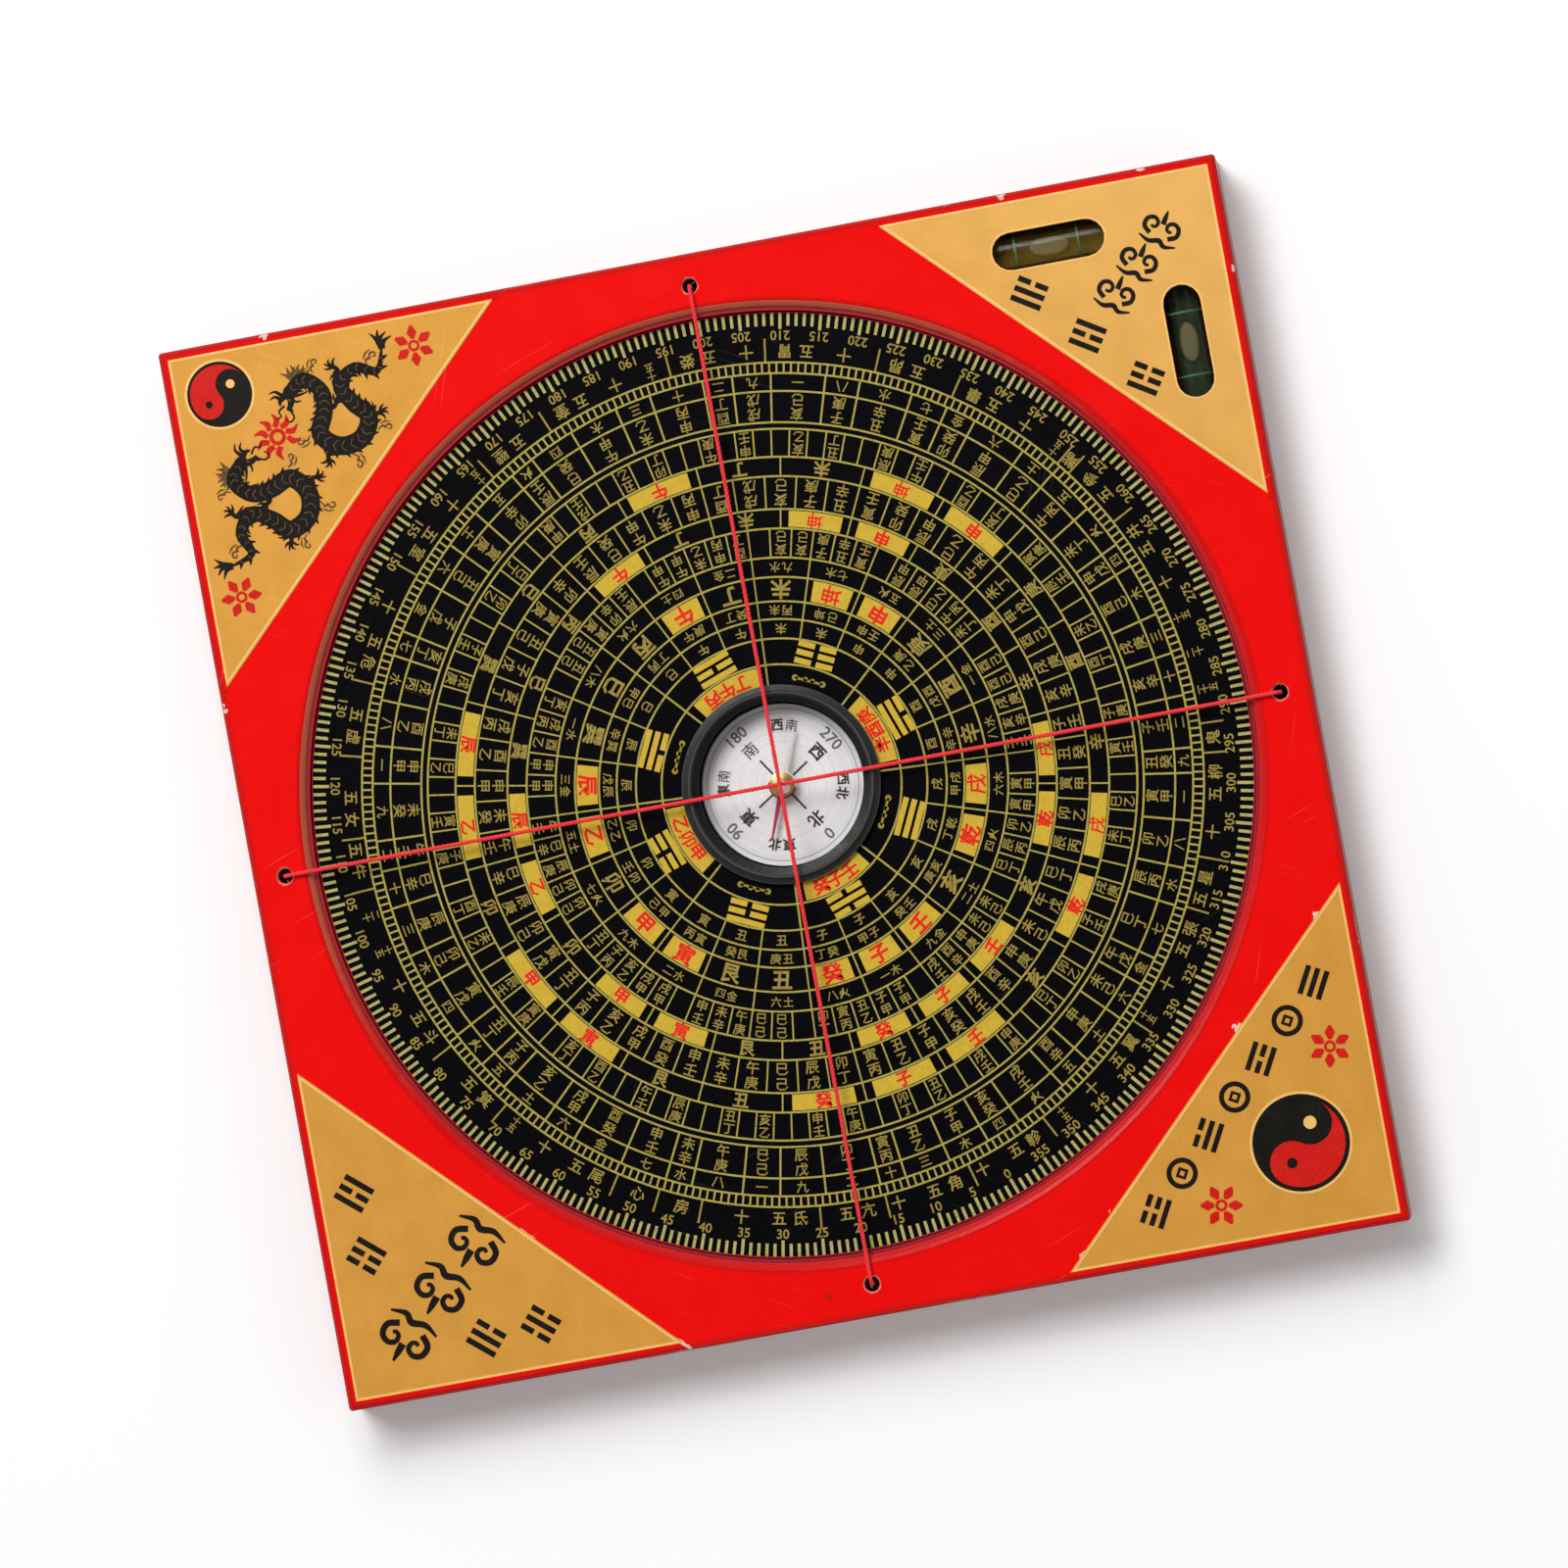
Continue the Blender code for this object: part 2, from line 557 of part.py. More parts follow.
def bubble_mesh(name, along_y):
    """Return an air bubble, a flattened ball that fits under the top of the tube."""
    shape = bmesh.new()
    bmesh.ops.create_uvsphere(shape, u_segments=BALL_SEGMENTS, v_segments=BALL_RINGS, radius=1.0)
    sizes = (BUBBLE_HALF_LENGTH, BUBBLE_HALF_WIDTH, BUBBLE_HALF_HEIGHT)
    bmesh.ops.scale(shape, vec=sizes, verts=shape.verts)
    heading = Matrix.Rotation(math.pi / 2 if along_y else 0.0, 4, "Z")
    bmesh.ops.transform(shape, matrix=heading, verts=shape.verts)
    return mesh_from(shape, name, math.radians(60.0))


def make_vials(parent):
    """Make both level vials: tube, plug, liquid and the bubble that runs along the tube."""
    for axis, (place, along_y) in window_places().items():
        stem = f"vial_{axis}_"
        tube = add_turned(stem + "tube", tube_profile(), TUBE_SEGMENTS, CLEAR_TUBE, parent)
        lay_along(tube, place, along_y)
        plug = add_turned(stem + "plug", plug_profile(), TUBE_SEGMENTS, PLUG_PLASTIC, parent)
        lay_along(plug, place, along_y)
        liquid = add_object(stem + "liquid", liquid_mesh(stem + "liquid", along_y), GREEN_LIQUID, parent)
        liquid.location = (*place, TUBE_AXIS_HEIGHT)
        runner = add_empty("bubble_axis_" + axis, (*place, TUBE_AXIS_HEIGHT + BUBBLE_HEIGHT), parent)
        add_object(stem + "bubble", bubble_mesh(stem + "bubble", along_y), AIR_BUBBLE, runner)


def make_dial(parent):
    """Make the disc and its printed face, which turn together in the well."""
    chamfered = DIAL_RADIUS - DISC_CHAMFER
    disc_profile = [
        (0.0, DISC_BOTTOM),
        (chamfered, DISC_BOTTOM),
        (DIAL_RADIUS, DISC_BOTTOM + DISC_CHAMFER),
        (DIAL_RADIUS, DISC_TOP),
        (CAPSULE_HOLE_RADIUS, DISC_TOP),
        (CAPSULE_HOLE_RADIUS, POCKET_FLOOR),
        (0.0, POCKET_FLOOR),
    ]
    add_turned("dial_disc", disc_profile, DIAL_SEGMENTS, BLACK_DISC, parent)
    face_profile = [
        (CAPSULE_HOLE_RADIUS, FACE_BOTTOM),
        (DIAL_RADIUS, FACE_BOTTOM),
        (DIAL_RADIUS, FACE_TOP - FACE_CHAMFER),
        (DIAL_RADIUS - FACE_CHAMFER, FACE_TOP),
        (CAPSULE_HOLE_RADIUS, FACE_TOP),
    ]
    add_turned("dial_face", face_profile, DIAL_SEGMENTS, PRINTED_FACE, parent, closed=True)


def bezel_profile():
    """Return the profile of the bezel: a low flange, a step, a ridge, a lip over the crystal and a skirt."""
    flange_top = BEZEL_BOTTOM + BEZEL_FLANGE_HEIGHT
    step_top = BEZEL_BOTTOM + BEZEL_STEP_HEIGHT
    ridge_inner = BEZEL_SKIRT_RADIUS - BEZEL_RIDGE_WIDTH
    lip_top = BEZEL_TOP - BEZEL_LIP_SLOPE
    return [
        (BEZEL_SKIRT_RADIUS, BEZEL_BOTTOM),
        (BEZEL_RADIUS, BEZEL_BOTTOM),
        (BEZEL_RADIUS, flange_top),
        (BEZEL_SKIRT_RADIUS, step_top),
        (BEZEL_SKIRT_RADIUS, BEZEL_TOP - BEZEL_RIDGE_ROUND),
        (BEZEL_SKIRT_RADIUS - BEZEL_RIDGE_ROUND, BEZEL_TOP),
        (ridge_inner + BEZEL_RIDGE_ROUND, BEZEL_TOP),
        (ridge_inner, BEZEL_TOP - BEZEL_RIDGE_ROUND),
        (WINDOW_RADIUS, lip_top),
        (WINDOW_RADIUS, LIP_BOTTOM),
        (BEZEL_BORE_RADIUS, LIP_BOTTOM),
        (BEZEL_BORE_RADIUS, CUP_BOTTOM),
        (BEZEL_SKIRT_RADIUS, CUP_BOTTOM),
    ]


def crystal_profile():
    """Return the profile of the crystal, flat below and slightly domed above inside the window."""
    dome_radius = WINDOW_RADIUS - SEAT_GAP
    dome = []
    for step in range(ARC_STEPS + 1):
        share = step / ARC_STEPS
        height = CRYSTAL_TOP + CRYSTAL_DOME * (1.0 - (1.0 - share) ** 2)
        dome.append((dome_radius * (1.0 - share), height))
    return [(0.0, CRYSTAL_BOTTOM), (CUP_RADIUS, CRYSTAL_BOTTOM), (CUP_RADIUS, CRYSTAL_TOP), *dome]


def cup_profile():
    """Return the profile of the capsule's cup, with the boss that seats the pivot pin."""
    return [
        (0.0, CUP_BOTTOM),
        (CUP_RADIUS, CUP_BOTTOM),
        (CUP_RADIUS, CUP_TOP),
        (CUP_BORE_RADIUS, CUP_TOP),
        (CUP_BORE_RADIUS, CUP_FLOOR_TOP),
        (BOSS_RADIUS, CUP_FLOOR_TOP),
        (BOSS_RADIUS, BOSS_TOP),
        (PIN_SEAT_RADIUS, BOSS_TOP),
        (PIN_SEAT_RADIUS, PIN_SEAT_BOTTOM),
        (0.0, PIN_SEAT_BOTTOM),
    ]


def make_capsule(parent):
    """Make the compass capsule: cup, card, crystal, bezel and pivot pin."""
    add_turned("capsule_cup", cup_profile(), CAPSULE_SEGMENTS, BLACK_PLASTIC, parent)
    card_top = CARD_BOTTOM + CARD_THICKNESS
    card_profile = [
        (CARD_HOLE_RADIUS, CARD_BOTTOM),
        (CARD_RADIUS, CARD_BOTTOM),
        (CARD_RADIUS, card_top),
        (CARD_HOLE_RADIUS, card_top),
    ]
    add_turned("capsule_card", card_profile, CAPSULE_SEGMENTS, PALE_CARD, parent, closed=True)
    add_turned("capsule_crystal", crystal_profile(), CAPSULE_SEGMENTS, CLEAR_ACRYLIC, parent)
    add_turned("capsule_bezel", bezel_profile(), CAPSULE_SEGMENTS, BLACK_PLASTIC, parent, closed=True)
    pin_profile = [
        (0.0, PIN_SEAT_BOTTOM + SEAT_GAP),
        (PIN_FOOT_RADIUS, PIN_SEAT_BOTTOM + SEAT_GAP),
        (PIN_FOOT_RADIUS, BOSS_TOP),
        (PIN_SHAFT_RADIUS, BOSS_TOP),
        (PIN_SHAFT_RADIUS, PIN_TIP - PIN_POINT_LENGTH),
        (0.0, PIN_TIP),
    ]
    add_turned("pivot_pin", pin_profile, SMALL_SEGMENTS, STEEL, parent)


def needle_outline():
    """Return the outline of the needle: two tapered arms on a ring, anticlockwise."""
    root = math.asin(NEEDLE_HALF_WIDTH / NEEDLE_RING_RADIUS)
    outline = []
    for side in (1, -1):
        turn = 0.0 if side == 1 else math.pi
        outline += [
            (side * NEEDLE_HALF_LENGTH, -side * NEEDLE_TIP_HALF_WIDTH),
            (side * NEEDLE_HALF_LENGTH, side * NEEDLE_TIP_HALF_WIDTH),
        ]
        outline += arc_points((0.0, 0.0), NEEDLE_RING_RADIUS, turn + root, turn + math.pi - root, RING_STEPS)
    return outline


def make_needle(parent):
    """Make the needle, its brass cap and the bearing stone in the cap."""
    shape = prism_shape(needle_outline(), NEEDLE_BOTTOM, NEEDLE_TOP)
    needle = add_object("compass_needle", mesh_from(shape, "compass_needle"), NEEDLE_PAINT, parent)
    hole_profile = [
        (0.0, NEEDLE_BOTTOM - CUT_OVERRUN),
        (NEEDLE_HOLE_RADIUS, NEEDLE_BOTTOM - CUT_OVERRUN),
        (NEEDLE_HOLE_RADIUS, NEEDLE_TOP + CUT_OVERRUN),
        (0.0, NEEDLE_TOP + CUT_OVERRUN),
    ]
    cutter = add_cutter("cut_needle_hole", turned_mesh("cut_needle_hole", hole_profile, SMALL_SEGMENTS))
    cutter.parent = parent
    cut(needle, cutter)
    cap_profile = [
        (0.0, CAP_RIM_TOP),
        (CAP_BORE_RADIUS, CAP_RIM_TOP),
        (CAP_BORE_RADIUS, CAP_BOTTOM),
        (CAP_STEM_RADIUS, CAP_BOTTOM),
        (CAP_STEM_RADIUS, CAP_RIM_BOTTOM),
        (CAP_RADIUS, CAP_RIM_BOTTOM),
        (CAP_RADIUS, CAP_RIM_TOP),
    ]
    for step in range(1, ARC_STEPS + 1):
        share = step / ARC_STEPS
        height = CAP_RIM_TOP + CAP_DOME * (1.0 - (1.0 - share) ** 2)
        cap_profile.append((CAP_RADIUS * (1.0 - share), height))
    add_turned("needle_cap", cap_profile, SMALL_SEGMENTS, BRASS, parent)
    jewel_profile = [
        (0.0, JEWEL_BOTTOM),
        (JEWEL_RADIUS, JEWEL_BOTTOM),
        (JEWEL_RADIUS, JEWEL_TOP),
        (0.0, JEWEL_TOP),
    ]
    add_turned("cap_jewel", jewel_profile, SMALL_SEGMENTS, JEWEL_STONE, parent)


def string_route(rise):
    """Return one string's points along its run, as distance from the middle and height.

    It comes up through one hole, bends over the hole's edge, crosses the dial and goes down the other hole.
    The rise lifts its middle over the string that it crosses.
    """
    bend = (STRING_HOLE_REACH - STRING_BEND_RADIUS, STRING_HEIGHT - STRING_BEND_RADIUS)
    half = [(STRING_HOLE_REACH, KNOT_WELL_DEPTH), (STRING_HOLE_REACH, FRAME_BOTTOM)]
    half += arc_points(bend, STRING_BEND_RADIUS, 0.0, math.pi / 2, ARC_STEPS)
    half += [(bend[0] / 2, STRING_HEIGHT + rise / 2), (KNOT_RADIUS, STRING_HEIGHT + rise)]
    other = [(-distance, height) for distance, height in reversed(half)]
    return half + other


def make_string(name, rise, along_y, parent):
    """Make a string as a curve with a round section along its route."""
    route = string_route(rise)
    curve = bpy.data.curves.new(name, "CURVE")
    curve.dimensions = "3D"
    curve.bevel_depth = STRING_RADIUS
    curve.bevel_resolution = STRING_BEVEL_RESOLUTION
    curve.use_fill_caps = True
    spline = curve.splines.new("POLY")
    spline.points.add(len(route) - 1)
    for point, (distance, height) in zip(spline.points, route):
        place = (0.0, distance) if along_y else (distance, 0.0)
        point.co = (*place, height, 1.0)
    curve.materials.append(make_material(RED_STRING))
    item = bpy.data.objects.new(name, curve)
    bpy.context.scene.collection.objects.link(item)
    item.parent = parent
    return item


def make_strings(parent):
    """Make the crossed strings and the four knots that hold them under the board."""
    make_string("cross_string_ew", 0.0, False, parent)
    make_string("cross_string_ns", STRING_CROSSING_RISE, True, parent)
    for side, place in string_hole_places().items():
        name = "string_knot_" + side
        shape = bmesh.new()
        bmesh.ops.create_uvsphere(shape, u_segments=BALL_SEGMENTS, v_segments=BALL_RINGS, radius=1.0)
        bmesh.ops.scale(shape, vec=(KNOT_RADIUS, KNOT_RADIUS, KNOT_HALF_HEIGHT), verts=shape.verts)
        knot = add_object(name, mesh_from(shape, name, math.radians(60.0)), RED_STRING, parent)
        knot.location = (*place, KNOT_HEIGHT)


def main():
    """Build the whole compass."""
    clear_scene()
    make_base_board(None)
    make_frame_plate(None)
    make_corner_plates(None)
    make_vials(None)
    make_strings(None)
    dial_axis = add_empty("dial_axis", (0.0, 0.0, 0.0))
    make_dial(dial_axis)
    make_capsule(dial_axis)
    needle_axis = add_empty("needle_axis", (0.0, 0.0, 0.0), dial_axis)
    needle_axis.rotation_euler = (0.0, 0.0, math.pi / 2 - NEEDLE_BEARING)
    make_needle(needle_axis)


main()
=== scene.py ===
"""Looks of the feng shui compass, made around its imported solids.

Sizes are in millimetres unless a name says otherwise, and each piece is made where it lies at rest. A bearing
is in degrees, clockwise from the board's +Y as seen from above.
"""

import logging
import math
from dataclasses import dataclass
from enum import Enum
from functools import cache, cached_property, partial
from typing import Callable, Sequence

import bmesh
import bpy
import numpy as np
from mathutils import Matrix, Vector


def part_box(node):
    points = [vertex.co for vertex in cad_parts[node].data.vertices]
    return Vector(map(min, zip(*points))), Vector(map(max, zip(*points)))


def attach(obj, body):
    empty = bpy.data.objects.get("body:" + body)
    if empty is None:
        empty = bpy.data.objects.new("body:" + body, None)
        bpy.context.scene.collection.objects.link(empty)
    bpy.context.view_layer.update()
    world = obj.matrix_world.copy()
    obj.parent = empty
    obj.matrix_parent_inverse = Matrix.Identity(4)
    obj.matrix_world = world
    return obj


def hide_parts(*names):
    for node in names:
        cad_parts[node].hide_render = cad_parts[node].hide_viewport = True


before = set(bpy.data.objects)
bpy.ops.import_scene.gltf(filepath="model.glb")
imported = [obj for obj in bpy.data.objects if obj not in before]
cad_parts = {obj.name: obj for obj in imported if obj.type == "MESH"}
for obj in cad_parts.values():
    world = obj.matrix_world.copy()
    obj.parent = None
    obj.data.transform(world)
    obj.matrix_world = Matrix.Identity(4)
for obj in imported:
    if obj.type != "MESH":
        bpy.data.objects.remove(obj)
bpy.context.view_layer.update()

Pair = tuple[float, float]
Point = tuple[float, float]
Place = tuple[float, float, float]
Colour = tuple[float, float, float]
Output = bpy.types.NodeSocket
Value = Output | float | Colour | Vector
Strokes = Sequence[tuple[Sequence[Point], Sequence[float]]]
Solid = tuple[np.ndarray, list[tuple[int, ...]]]

LOG = logging.getLogger("compass")
MM = 0.001
HALF_BOARD = 95.0
PRINT_SINK = 0.02
PRINT_RISE = 0.05
PRINT_STEP = 0.012
DIAL_NORTH = 160.2
EAST, NORTH, UP = Vector((1.0, 0.0, 0.0)), Vector((0.0, 1.0, 0.0)), Vector((0.0, 0.0, 1.0))
STEMS = "甲乙丙丁戊己庚辛壬癸"
BRANCHES = "子丑寅卯辰巳午未申酉戌亥"
ELEMENTS = "木火土金水"
NUMERALS = "一二三四五六七八九十"
MOUNTAINS = "子癸丑艮寅甲卯乙辰巽巳丙午丁未坤申庚酉辛戌乾亥壬"
GOLD_MOUNTAINS = "子癸寅甲乙辰午坤申戌乾壬"
HUB_MOUNTAINS = ("壬子癸", "甲卯乙", "丙午丁", "庚酉辛")
MANSIONS = "角亢氐房心尾箕斗牛女虚危室壁奎娄胃昴畢觜參井鬼柳星張翼軫"
MANSION_WIDTHS = (
    12, 9, 16, 6, 6, 18, 11, 24, 7, 11, 10, 16, 17, 10, 18, 13, 15, 11, 17, 2, 9, 30, 4, 14, 7, 17, 18, 12,
)
DIAL_TRIGRAMS = ("010", "001", "100", "011", "101", "000", "110", "111")


def span(node: str) -> tuple[Vector, Vector]:
    """Return a solid's lowest and highest corners in millimetres."""
    low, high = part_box(node)
    return low / MM, high / MM


def middle_of(node: str) -> Vector:
    """Return the middle of a solid's box in millimetres."""
    low, high = span(node)
    return (low + high) / 2


def spot(radius: float, bearing: float, centre: Point = (0.0, 0.0)) -> Point:
    """Return the point at a distance and bearing from a centre."""
    turn = math.radians(bearing)
    return centre[0] + radius * math.sin(turn), centre[1] + radius * math.cos(turn)


def arc(radius: float, first: float, last: float, steps: int, centre: Point = (0.0, 0.0)) -> list[Point]:
    """Return the points of an arc between two bearings, one more than there are steps."""
    return [spot(radius, first + (last - first) * step / steps, centre) for step in range(steps + 1)]


def smooth_path(points: Sequence[Point], steps: int) -> list[Point]:
    """Return a Catmull-Rom curve through points.

    Args:
        points: the points to pass through.
        steps: the steps between two of them.

    Returns:
        The curve's points.
    """
    inner = [Vector(point) for point in points]
    ends = [inner[0] * 2 - inner[1], *inner, inner[-1] * 2 - inner[-2]]
    path = []
    for before, start, end, after in zip(ends, ends[1:], ends[2:], ends[3:]):
        for step in range(steps):
            t = step / steps
            bend = (end - before) * t + (before * 2 - start * 5 + end * 4 - after) * t * t
            bend += (start * 3 - before - end * 3 + after) * t ** 3
            path.append(tuple(start + bend / 2))
    path.append(tuple(points[-1]))
    return path


def spread(values: Sequence[float], count: int) -> np.ndarray:
    """Return values interpolated to a number of even steps."""
    return np.interp(np.linspace(0, len(values) - 1, count), range(len(values)), values)


def run_at(line: Sequence[Vector], index: int) -> Vector:
    """Return the direction of a line at one of its points, from the point before it to the one after."""
    return line[min(index + 1, len(line) - 1)] - line[max(index - 1, 0)]


def make_mesh(name: str, points: Sequence[Place], faces: Sequence[Sequence[int]]) -> bpy.types.Mesh:
    """Return a mesh of points in metres.

    Args:
        name: the mesh's name.
        points: its points.
        faces: the numbers of each face's points.

    Returns:
        The mesh.
    """
    mesh = bpy.data.meshes.new(name)
    mesh.from_pydata(points, [], faces)
    mesh.validate()
    return mesh


def put_in_scene(name: str, data: bpy.types.ID) -> bpy.types.Object:
    """Return a new object that is in the scene.

    Args:
        name: the object's name.
        data: its mesh, curve, light or camera.

    Returns:
        The object.
    """
    item = bpy.data.objects.new(name, data)
    bpy.context.scene.collection.objects.link(item)
    return item


class Relief:
    """Thin closed solids, such as printed marks, gathered in millimetres and made into one piece."""

    def __init__(self, surface: float, layer: int = 0) -> None:
        """Start an empty relief.

        Args:
            surface: the height of the surface that it lies on.
            layer: 0 on the bare surface, 1 on a first layer of print, and so on.
        """
        self.low = surface - PRINT_SINK
        self.high = surface + PRINT_RISE + layer * PRINT_STEP
        self.points: list[Place] = []
        self.faces: list[tuple[int, ...]] = []

    def prism(self, outline: Sequence[Point]) -> None:
        """Add a straight-sided solid.

        Args:
            outline: the points of its outline, counterclockwise.
        """
        start, count = len(self.points), len(outline)
        self.points += [(x, y, z) for z in (self.low, self.high) for x, y in outline]
        self.faces.append(tuple(start + step for step in reversed(range(count))))
        self.faces.append(tuple(start + count + step for step in range(count)))
        for step in range(count):
            after = (step + 1) % count
            self.faces.append((start + step, start + after, start + count + after, start + count + step))

    def strip(self, left: Sequence[Point], right: Sequence[Point], closed: bool = False) -> None:
        """Add a solid between two lines of points.

        Args:
            left: the points on the left of the run.
            right: as many points on its right.
            closed: whether the run ends where it starts.
        """
        start, count = len(self.points), len(left)
        for side, height in ((left, self.low), (right, self.low), (left, self.high), (right, self.high)):
            self.points += [(x, y, height) for x, y in side]
        left_low, right_low, left_high, right_high = (start + count * row for row in range(4))
        for step in range(count if closed else count - 1):
            after = (step + 1) % count
            self.faces.append((right_high + step, right_high + after, left_high + after, left_high + step))
            self.faces.append((left_low + step, left_low + after, right_low + after, right_low + step))
            self.faces.append((right_low + step, right_low + after, right_high + after, right_high + step))
            self.faces.append((left_low + after, left_low + step, left_high + step, left_high + after))
        if not closed:
            last = count - 1
            self.faces.append((left_low, right_low, right_high, left_high))
            self.faces.append((right_low + last, left_low + last, left_high + last, right_high + last))

    def ring(self, radius: float, width: float, steps: int = 240, centre: Point = (0.0, 0.0)) -> None:
        """Add a round line of some width; the radius is that of its middle."""
        last = 360.0 - 360.0 / steps
        self.strip(*(arc(radius + side * width, 0.0, last, steps - 1, centre) for side in (0.5, -0.5)), True)

    def sector(self, inner: float, outer: float, first: float, last: float, steps: int = 6) -> None:
        """Add the part of a ring between two radii and two bearings."""
        self.strip(arc(outer, first, last, steps), arc(inner, first, last, steps))

    def bar(self, start: Point, end: Point, width: float) -> None:
        """Add a straight line with square ends."""
        self.stroke((start, end), (width, width), 1)

    def stroke(self, points: Sequence[Point], widths: Sequence[float], steps: int = 5) -> None:
        """Add a brush stroke along a smooth curve.

        Args:
            points: the points that it passes through.
            widths: its width at each point.
            steps: the steps between two points.
        """
        path = [Vector(point) for point in smooth_path(points, steps)]
        left, right = [], []
        for index, width in enumerate(spread(widths, len(path))):
            run = run_at(path, index)
            side = Vector((-run.y, run.x)).normalized() * width / 2
            left.append(tuple(path[index] + side))
            right.append(tuple(path[index] - side))
        self.strip(left, right)

    def disc(self, centre: Point, radius: float, steps: int = 16) -> None:
        """Add a round dot."""
        self.prism(arc(radius, 0.0, 360.0 / steps - 360.0, steps - 1, centre))

    def mesh(self, name: str) -> bpy.types.Mesh:
        """Return the gathered solids as one mesh."""
        return make_mesh(name, [(x * MM, y * MM, z * MM) for x, y, z in self.points], self.faces)


@dataclass(frozen=True)
class Lettering:
    """Numbers and dial characters as closed solids, each made once from the built-in font.

    The weight is how far each stroke's edge is moved out, as a share of the text's size.
    """

    weight: float
    least_weight: float = 0.004
    weight_step: float = 0.7
    most_growth: float = 2.2
    weld: float = 1e-5
    half_height: float = 0.5
    number_steps: int = 3
    character_steps: int = 1
    top_normal: float = 0.5

    @cache
    def solid(self, text: str) -> Solid:
        """Return a text of size 1 about its own middle, between heights 0 and 1.

        Args:
            text: the characters.

        Returns:
            The points and the faces.
        """
        plain = self.shape(text, 0.0)
        best, weight = plain, self.weight
        while weight > self.least_weight and best is plain:
            heavy = self.shape(text, weight)
            if self.is_sound(heavy, plain):
                best = heavy
            weight *= self.weight_step
        points = np.array([tuple(vertex.co) for vertex in best.verts])
        points[:, :2] -= (points[:, :2].min(0) + points[:, :2].max(0)) / 2
        points[:, 2] += self.half_height
        return points, [tuple(vertex.index for vertex in face.verts) for face in best.faces]

    def shape(self, text: str, weight: float) -> bmesh.types.BMesh:
        """Return a text of size 1 as a solid.

        Args:
            text: the characters.
            weight: how far the strokes' edges are moved out.

        Returns:
            The solid.
        """
        curve = bpy.data.curves.new("lettering", "FONT")
        curve.body, curve.extrude, curve.offset = text, self.half_height, weight
        curve.resolution_u = self.number_steps if text.isascii() else self.character_steps
        holder = put_in_scene("lettering", curve)
        bpy.context.view_layer.update()
        shape = bmesh.new()
        shape.from_mesh(holder.evaluated_get(bpy.context.evaluated_depsgraph_get()).to_mesh())
        bmesh.ops.remove_doubles(shape, verts=shape.verts, dist=self.weld)
        shape.verts.index_update()
        bpy.data.objects.remove(holder)
        bpy.data.curves.remove(curve)
        return shape

    def is_sound(self, heavy: bmesh.types.BMesh, plain: bmesh.types.BMesh) -> bool:
        """Return whether a heavier text is closed and has lost none of the plain one's strokes.

        Args:
            heavy: the heavier text.
            plain: the text as the font has it.

        Returns:
            Whether the heavier text can be used.
        """
        bold_area, plain_area = (
            sum(face.calc_area() for face in shape.faces if face.normal.z > self.top_normal)
            for shape in (heavy, plain)
        )
        is_closed = all(edge.is_manifold for edge in heavy.edges)
        return is_closed and plain_area < bold_area < plain_area * self.most_growth

    def write(self, relief: Relief, text: str, place: Point, size: float, turn: float) -> None:
        """Add a text to a relief.

        Args:
            relief: the relief to add to.
            text: the characters.
            place: the middle of the text.
            size: the height of a full character.
            turn: the bearing of the text's top.
        """
        points, faces = self.solid(text)
        angle = -math.radians(turn)
        cos, sin = math.cos(angle) * size, math.sin(angle) * size
        start, depth = len(relief.points), relief.high - relief.low
        relief.points += [
            (place[0] + x * cos - y * sin, place[1] + x * sin + y * cos, relief.low + z * depth)
            for x, y, z in points
        ]
        relief.faces += [tuple(start + index for index in face) for face in faces]


LETTERS = Lettering(0.014)
BOLD_LETTERS = Lettering(0.032)

LEAST_DETAIL, LITTLE_DETAIL, MIDDLE_DETAIL, MORE_DETAIL, MUCH_DETAIL, MOST_DETAIL = 1.0, 2.0, 3.0, 4.0, 5.0, 6.0


class Socket(Enum):
    """The kinds of socket that the shared effects have."""

    FLOAT = "NodeSocketFloat"
    COLOUR = "NodeSocketColor"


class Effect(Enum):
    """The effects that several finishes share, each a shader node group."""

    MOTTLE = "surface_mottle"
    SCRATCHES = "fine_scratches"
    EDGE_WEAR = "edge_wear"


